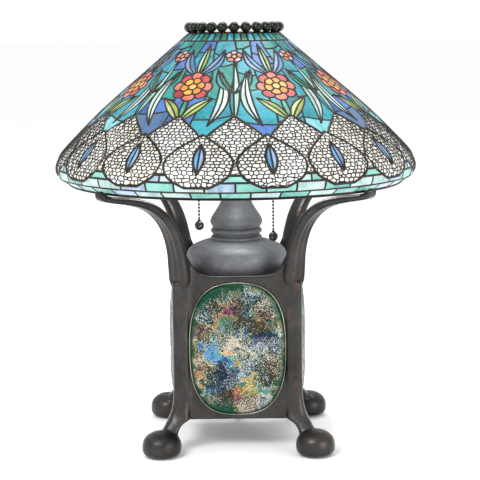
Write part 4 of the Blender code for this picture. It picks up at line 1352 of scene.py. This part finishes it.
def build_chains(finishes):
    """Pull chains of round beads on a fine wire, with a larger ball at the end."""
    ball, bead = CHAIN_BALL_RADIUS * MM, CHAIN_BEAD_RADIUS * MM
    for place in ("left", "right"):
        body = f"pull_chain_{place}"
        low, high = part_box(body)
        x, y = (low.x + high.x) / 2, (low.y + high.y) / 2
        bm = bmesh.new()
        spot = Matrix.Translation((x, y, low.z + ball + 0.1 * MM))
        bmesh.ops.create_uvsphere(bm, u_segments=28, v_segments=18, radius=ball, matrix=spot)
        cap = lathe([(0, 0), (2.1, 0), (2.4, 1.0), (1.4, 2.8), (0, 2.8)], 16)
        bmesh.ops.translate(cap, vec=(x, y, low.z + 2 * ball - 0.8 * MM), verts=cap.verts)
        add_to(bm, cap)
        cap.free()
        height = low.z + 2 * ball + 3.6 * MM
        while height < high.z:
            spot = Matrix.Translation((x, y, height))
            bmesh.ops.create_uvsphere(bm, u_segments=12, v_segments=8, radius=bead, matrix=spot)
            height += CHAIN_PITCH * MM
        stand_in(body, f"bead_chain_{place}", bm, finishes["chain"], body, "blackened_brass")
        line = [(x, y, low.z + 2 * ball), (x, y, high.z)]
        wire = tube_curve("wire", [line], CHAIN_WIRE_RADIUS * MM, finishes["chain"], body)
        wire.name = f"chain_wire_{place}"


def paint_kept_nodes(finishes):
    """Materials for the CAD pieces that are shown as they are."""
    kept = {
        "steel": ["top_plate", "bottom_plate", "centre_tube", "tube_nut",
                  *[f"tile_retainer_{side}" for side in QUADRANTS]],
        "dark": ["cluster_hub", "cluster_finial", "socket_left", "socket_right"],
        "opal": ["bulb_left", "bulb_right", "base_bulb"],
        "plastic": ["base_socket", "cord_grommet", "switch_body", "switch_wheel"],
        "cord": ["cord_lamp_side", "cord_plug_side", "plug"],
        "felt": [f"foot_pad_{corner}" for corner in CORNERS],
    }
    for finish, nodes in kept.items():
        for name in nodes:
            for place in frame["nodes"][name].material_slots:
                place.material = finishes[finish]


# ---------- stage

def area_light(name, position, target, size, power):
    data = bpy.data.lights.new(name, "AREA")
    data.shape = "DISK"
    data.size = size
    data.energy = power
    light = bpy.data.objects.new(name, data)
    bpy.context.scene.collection.objects.link(light)
    light.location = position
    light.rotation_euler = (Vector(target) - Vector(position)).to_track_quat("-Z", "Y").to_euler()


def build_room():
    """A white room with a pale floor."""
    scene = bpy.context.scene
    scene.view_settings.view_transform = "Standard"
    scene.world = bpy.data.worlds.new("white_room")
    scene.world.use_nodes = True
    background = scene.world.node_tree.nodes["Background"].inputs
    background["Color"].default_value = (1.0, 1.0, 1.0, 1.0)
    background["Strength"].default_value = 1.0
    bm = bmesh.new()
    bmesh.ops.create_grid(bm, x_segments=1, y_segments=1, size=FLOOR_HALF)
    mesh = bpy.data.meshes.new("floor")
    bm.to_mesh(mesh)
    bm.free()
    floor = bpy.data.objects.new("floor", mesh)
    scene.collection.objects.link(floor)
    finish = Finish("pale_floor")
    finish.set(Base_Color=(0.98, 0.98, 0.98, 1.0), Roughness=0.9, Specular_IOR_Level=0.0)
    mesh.materials.append(finish.material)


def build_stage():
    """The room, soft lights, the lamp's own glow, and the camera at the viewing angle."""
    scene = bpy.context.scene
    build_room()
    for light in LIGHTS:
        area_light(*light)
    glow = bpy.data.lights.new("glow", "POINT")
    glow.energy = GLOW_POWER
    glow.shadow_soft_size = GLOW_RADIUS
    inner = bpy.data.objects.new("glow", glow)
    inner.location = (0.0, 0.0, GLOW_HEIGHT)
    scene.collection.objects.link(inner)
    camera_data = bpy.data.cameras.new("camera")
    camera_data.lens = CAMERA_LENS
    camera = bpy.data.objects.new("camera", camera_data)
    scene.collection.objects.link(camera)
    pitch = Matrix.Rotation(math.radians(90 - CAMERA_DOWN), 4, "X")
    roll = Matrix.Rotation(math.radians(CAMERA_ROLL), 4, "Z")
    camera.matrix_world = Matrix.Translation(CAMERA_PLACE) @ pitch @ roll
    scene.camera = camera


def make_finishes():
    return {
        "glass": {name: glass_finish(name, *colours) for name, colours in GLASS.items()},
        "lead": metal_finish("lead_came", (30, 26, 23), (56, 50, 44), 0.45, 0.7, 260.0),
        "net_metal": metal_finish("net_metal", (26, 24, 19), (54, 51, 42), 0.5, 0.6, 300.0),
        "dark": metal_finish("dark_metal", (26, 28, 24), (52, 54, 46), 0.24, 0.85, 220.0),
        "chain": metal_finish("gunmetal", (52, 52, 52), (92, 92, 90), 0.25, 0.95, 300.0),
        "bronze": metal_finish("bronze_patina", (44, 43, 42), (76, 74, 72), 0.36, 0.85, 190.0, (96, 66, 56)),
        "pewter": metal_finish("pewter_patina", (96, 94, 96), (134, 138, 144), 0.58, 0.5, 160.0,
                               (122, 92, 82)),
        "tile": tile_finish(),
        "rim": metal_finish("bright_rim", (84, 86, 78), (172, 172, 158), 0.24, 1.0, 300.0),
        "steel": metal_finish("steel", (120, 120, 118), (165, 165, 162), 0.35, 1.0),
        "opal": plain_finish("opal_glass", (250, 240, 220), 0.25, 0.0, 0.5),
        "plastic": plain_finish("black_plastic", (24, 24, 24), 0.35),
        "cord": plain_finish("brown_cord", (44, 32, 24), 0.45),
        "felt": plain_finish("felt", (36, 36, 38), 0.9, grain=900.0),
    }


def main():
    finishes = make_finishes()
    partition = Partition(whole_pattern())
    build_shade_glass(partition, finishes)
    build_cames(partition, finishes["lead"])
    build_filigree(finishes["net_metal"])
    build_shade_trim(finishes)
    build_castings(finishes)
    build_tiles(finishes)
    build_column(finishes)
    build_chains(finishes)
    paint_kept_nodes(finishes)
    # The panes take the place of the CAD's three bands of glass, and one piece of them stands for all.
    for node in ("shade_upper_glass", "shade_filigree_band", "shade_brick_border"):
        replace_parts(bpy.data.objects["glass_frosted_front"], node)
    build_stage()


main()
